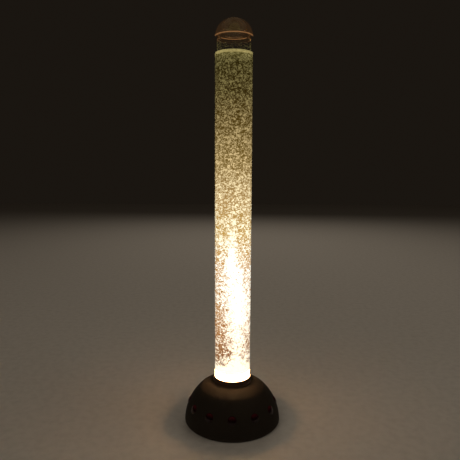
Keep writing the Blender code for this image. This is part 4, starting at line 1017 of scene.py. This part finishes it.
def facet_shape(radius):
    """A closed disc whose upper face is cut in facets."""
    shape = bmesh.new()
    middle = shape.verts.new((0, 0, FACET_BASE))
    rings = [
        [
            shape.verts.new(around(radius * share, tau * (side + ring / 2) / FACET_SIDES, FACET_BASE + rise))
            for side in range(FACET_SIDES)
        ]
        for ring, (share, rise) in enumerate(FACET_RINGS)
    ]
    below = [shape.verts.new((vert.co.x, vert.co.y, 0)) for vert in rings[-1]]
    for side in range(FACET_SIDES):
        after = (side + 1) % FACET_SIDES
        shape.faces.new((middle, rings[0][side], rings[0][after]))
        for inner, outer in zip(rings, rings[1:]):
            shape.faces.new((inner[side], outer[side], inner[after]))
            shape.faces.new((outer[side], outer[after], inner[after]))
        shape.faces.new((rings[-1][side], below[side], below[after], rings[-1][after]))
    shape.faces.new(list(reversed(below)))
    return shape


def make_jewels():
    """Domed red jewels with faceted backs, each in its seat."""
    back = SEAT_GAP - JEWEL_SEAT_DEPTH
    curve_radius = (JEWEL_RADIUS**2 + JEWEL_RISE**2) / (2 * JEWEL_RISE)
    centre = back + JEWEL_BAND + JEWEL_RISE - curve_radius
    girdle_turn = asin(JEWEL_RADIUS / curve_radius)
    turns = [girdle_turn * step / JEWEL_STEPS for step in range(JEWEL_STEPS + 1)]
    profile = [
        *((curve_radius * sin(turn), centre + curve_radius * cos(turn)) for turn in turns),
        (JEWEL_RADIUS, back), (JEWEL_STUD_RADIUS, back),
        (JEWEL_STUD_RADIUS, -JEWEL_STUD_LENGTH), (0, -JEWEL_STUD_LENGTH),
    ]
    for number, place in enumerate(JEWEL_PLACES, 1):
        piece = Piece(f"jewel_dome_{number:02d}", JEWEL, FOIL)
        piece.turn(profile, 0.0003, JEWEL_SIDES, place)
        piece.add(facet_shape(JEWEL_RADIUS), place @ Matrix.Translation((0, 0, back + SEAT_GAP)), FOIL)
        jewel = piece.object()
        # Painted highlight: the facets glow more towards the jewel's top, where the column's light falls.
        to_local = place.inverted()
        rises = [max(0, (to_local @ vert.co).y / JEWEL_RADIUS) for vert in jewel.data.vertices]
        give_values(jewel.data, "painted_glow", [rise**1.5 for rise in rises])
        settle(jewel, "base", "red_jewel", f"jewel_{number:02d}")


# Inlet
INLET_PLACE = dome_frame(pi + JEWEL_PITCH / 2, REAR_HEIGHT)
INLET_FLANGE_RADIUS = 0.0065
INLET_FLANGE_THICKNESS = 0.0015
INLET_BARREL_RADIUS = 0.0052
INLET_LENGTH = 0.014
INLET_BORE_RADIUS = 0.003
INLET_BORE_DEPTH = 0.009

# The socket's metal parts: radius, and depth under its face
INLET_SLEEVE = ((0.0028, 0.0008), (0.003, 0.0008), (0.003, 0.009), (0.0028, 0.009))
INLET_PIN = ((0, 0.002), (0.0006, 0.002), (0.001, 0.0026), (0.001, 0.009), (0, 0.009))


def make_inlet():
    """The low-voltage socket: a black flange, a metal sleeve and the centre pin."""
    face = REAR_SEAT + INLET_FLANGE_THICKNESS
    bore_end = face - INLET_BORE_DEPTH
    body = [
        (INLET_BORE_RADIUS, face), (INLET_FLANGE_RADIUS, face), (INLET_FLANGE_RADIUS, REAR_SEAT),
        (INLET_BARREL_RADIUS, REAR_SEAT), (INLET_BARREL_RADIUS, -INLET_LENGTH), (0, -INLET_LENGTH),
        (0, bore_end), (INLET_BORE_RADIUS, bore_end),
    ]
    piece = Piece("inlet_socket", FRAME_BLACK, NICKEL)
    piece.turn(body, 0.0004, SMALL_SIDES, INLET_PLACE)
    for part in (INLET_SLEEVE, INLET_PIN):
        profile = [(radius, face - depth) for radius, depth in part]
        piece.turn(profile, 0, SMALL_SIDES, INLET_PLACE, NICKEL)
    settle(piece.object(), "base", "black_plastic", "power_inlet")


# Switch
SWITCH_PLACE = dome_frame(pi - JEWEL_PITCH / 2, REAR_HEIGHT)
SWITCH_WIDTH = 0.021
SWITCH_TALL = 0.015
SWITCH_RIM = 0.0013
SWITCH_THICKNESS = 0.002
SWITCH_FACE = REAR_SEAT + SWITCH_THICKNESS
SWITCH_DEPTH = 0.016
SWITCH_WALL = 0.0022
WELL_DEPTH = 0.0055
ROCKER_STEPS = 12
ROCKER_CLEARANCE = 0.0006
ROCKER_THICKNESS = 0.0028
ROCKER_KEEL = 0.001
ROCKER_DIP = 0.0012
ROCKER_EDGE = 0.0003
ROCKER_PIVOT_DEPTH = 0.001
ROCKER_TILT = radians(8)
MARK_SIZE = 0.0042
MARK_WIDTH = 0.0007
MARK_RISE = 0.00006


def switch_block(piece, wide_inset, tall_inset, bottom, top, edge):
    """A block at the switch's place, this far inside its outline and between two heights."""
    wide, tall = SWITCH_WIDTH / 2 - wide_inset, SWITCH_TALL / 2 - tall_inset
    piece.block((-wide, -tall, bottom), (wide, tall, top), edge, SWITCH_PLACE)


def make_switch_body():
    """The switch's frame and can, with the well for the rocker."""
    body, can, well = (Piece(name, FRAME_BLACK) for name in ("switch_housing", "switch_can", "rocker_well"))
    switch_block(body, 0, 0, REAR_SEAT, SWITCH_FACE, 0.0006)
    switch_block(can, SWITCH_RIM, SWITCH_RIM, -SWITCH_DEPTH, SWITCH_FACE - SWITCH_THICKNESS / 2, 0.0004)
    switch_block(
        well, SWITCH_RIM + SWITCH_WALL / 2, SWITCH_RIM + SWITCH_WALL,
        SWITCH_FACE - WELL_DEPTH, SWITCH_FACE + OVERRUN, 0.0003,
    )
    housing = body.object()
    carve(housing, can.object(), "UNION")
    carve(housing, well.object())
    settle(housing, "base", "black_plastic", "switch_body")


def rocker_shape(half, tall):
    """A rocker with a hollowed top and a keel under its middle."""
    bottom, keel = ROCKER_DIP - ROCKER_THICKNESS, half / 3
    top = [-half + 2 * half * step / ROCKER_STEPS for step in range(ROCKER_STEPS + 1)]
    outline = [
        *((x, ROCKER_DIP * (x / half) ** 2) for x in top),
        (half, bottom), (keel, bottom - ROCKER_KEEL), (-keel, bottom - ROCKER_KEEL), (-half, bottom),
    ]
    shape = bmesh.new()
    near, far = ([shape.verts.new((x, y, z)) for x, z in outline] for y in (-tall, tall))
    shape.faces.new(near)
    shape.faces.new(list(reversed(far)))
    for index in range(len(outline)):
        after = (index + 1) % len(outline)
        shape.faces.new((near[index], far[index], far[after], near[after]))
    bevel(shape, [edge for edge in shape.edges if edge.calc_face_angle(0) > SHARP_ANGLE], ROCKER_EDGE)
    return shape


def make_rocker():
    """The rocker, stored at ON, with a bar and a ring to mark on and off."""
    half = SWITCH_WIDTH / 2 - SWITCH_RIM - SWITCH_WALL / 2 - ROCKER_CLEARANCE
    across = SWITCH_TALL / 2 - SWITCH_RIM - SWITCH_WALL - SEAT_GAP
    place = (
        SWITCH_PLACE @ Matrix.Translation((0, 0, SWITCH_FACE - ROCKER_PIVOT_DEPTH))
        @ Matrix.Rotation(-ROCKER_TILT, 4, "Y")
    )
    piece = Piece("rocker_marked", ROCKER_GREY, PAINT)
    piece.add(rocker_shape(half, across), place)

    def on_face(x):
        """A place on the hollowed top, lying along its slope."""
        slope = 2 * ROCKER_DIP * x / half**2
        height = ROCKER_DIP * (x / half) ** 2
        return place @ Matrix.Translation((x, 0, height)) @ Matrix.Rotation(-slope, 4, "Y")

    outer, wide = MARK_SIZE / 2, MARK_WIDTH / 2
    inner = outer - MARK_WIDTH
    off_mark = [(inner, -MARK_RISE), (outer, -MARK_RISE), (outer, MARK_RISE), (inner, MARK_RISE)]
    piece.turn(off_mark, 0, SMALL_SIDES, on_face(half / 2), PAINT)
    piece.block(
        (-wide, -outer, -MARK_RISE), (wide, outer, MARK_RISE), MARK_RISE / 2, on_face(-half / 2), PAINT
    )
    settle(piece.object(), "rocker", "rocker_plastic", "switch_rocker")


# Rubber diaphragm between the pump's arm and its valve block, with lengths as shares of its own
NECK_RADIUS_SHARE = 0.43
NECK_LENGTH_SHARE = 0.5
FOLD_RADIUS_SHARES = (0.6, 0.72, 0.84)
FOLD_DEPTH_SHARE = 0.1


def make_diaphragm():
    """The pump's rubber cup, with a neck and a folded disc."""
    lowest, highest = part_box("pump_diaphragm")
    middle, size = (lowest + highest) / 2, highest - lowest
    wide, root = size.y / 2, size.x * NECK_LENGTH_SHARE
    neck = wide * NECK_RADIUS_SHARE
    inner, crest, outer = (wide * share for share in FOLD_RADIUS_SHARES)
    profile = [
        (0, 0), (neck, 0), (neck, root / 3), (neck, root * 2 / 3), (neck, root), (inner, root),
        (crest, root - size.x * FOLD_DEPTH_SHARE), (outer, root), (wide, root), (wide, size.x), (0, size.x),
    ]
    place = Matrix.Translation((lowest.x, middle.y, middle.z)) @ Matrix.Rotation(pi / 2, 4, "Y")
    rubber = SLOT_FINISHES["black_rubber"]
    cup = turned("rubber_diaphragm", profile, 0.0003, rubber, sides=SMALL_SIDES, place=place)
    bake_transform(cup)
    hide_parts("pump_diaphragm")


# Stage
FLOOR_SIZE = 12
FLOOR_CELLS = 8
CAMERA_PLACE = (0, -1.070, 0.584)
CAMERA_PITCH = radians(7.72)
CAMERA_YAW = radians(0.36)
CAMERA_ROLL = radians(0.24)
FRAME_PIXELS = 460
FOCAL_PIXELS = 490
SENSOR_WIDTH = 36
ROOM_LIGHT = 0.034
WARM_LIGHT = (1.0, 0.9, 0.78)
LIGHT_TARGET = Vector((0, 0, 0.25))
SOFTBOX_SIZE = 2.4
SOFTBOXES = (
    ("front_softbox", (-1.6, -2.2, 2.4), 13),
    ("side_softbox", (2.7, -0.5, 2.2), 10),
    ("back_softbox", (0.2, 3.0, 2.4), 14),
)


def make_stage():
    """The plain pale floor."""
    shape = bmesh.new()
    bmesh.ops.create_grid(shape, x_segments=FLOOR_CELLS, y_segments=FLOOR_CELLS, size=FLOOR_SIZE / 2)
    mesh = bpy.data.meshes.new("pale_floor")
    shape.to_mesh(mesh)
    shape.free()
    mesh.materials.append(moulded("pale_floor", (214, 207, 196), (204, 197, 186), 0.7, 0.004, 0.0002))
    show("pale_floor", mesh)


def make_lights():
    """A dim room and three warm softboxes that don't show in glass or gloss."""
    world = bpy.data.worlds.new("dim_room")
    world.use_nodes = True
    background = world.node_tree.nodes["Background"]
    background.inputs["Color"].default_value = screen_colour(150, 132, 112)
    background.inputs["Strength"].default_value = ROOM_LIGHT
    bpy.context.scene.world = world
    for name, place, watts in SOFTBOXES:
        light = bpy.data.lights.new(name, "AREA")
        light.shape = "SQUARE"
        light.size = SOFTBOX_SIZE
        light.energy = watts
        light.color = WARM_LIGHT
        softbox = show(name, light)
        softbox.location = place
        softbox.rotation_mode = "QUATERNION"
        softbox.rotation_quaternion = (LIGHT_TARGET - Vector(place)).to_track_quat("-Z", "Y")
        softbox.visible_camera = softbox.visible_transmission = softbox.visible_glossy = False


def make_camera():
    """The camera, at the photograph's angle."""
    data = bpy.data.cameras.new("camera")
    data.sensor_width = SENSOR_WIDTH
    data.lens = FOCAL_PIXELS / FRAME_PIXELS * SENSOR_WIDTH
    camera = show("camera", data)
    camera.matrix_world = (
        Matrix.Translation(CAMERA_PLACE) @ Matrix.Rotation(CAMERA_YAW, 4, "Z")
        @ Matrix.Rotation(pi / 2 - CAMERA_PITCH, 4, "X") @ Matrix.Rotation(CAMERA_ROLL, 4, "Z")
    )
    bpy.context.scene.camera = camera


def build():
    bpy.context.scene.view_settings.view_transform = "Standard"
    for make in (
        make_camera, finish_nodes, make_tube, make_cap, make_water, make_heart, make_froth, make_bubbles,
        make_foam, make_spray, make_floor_plug, make_collar, make_shell, make_jewels, make_inlet,
        make_switch_body, make_rocker, make_diaphragm, make_stage, make_lights,
    ):
        make()


build()
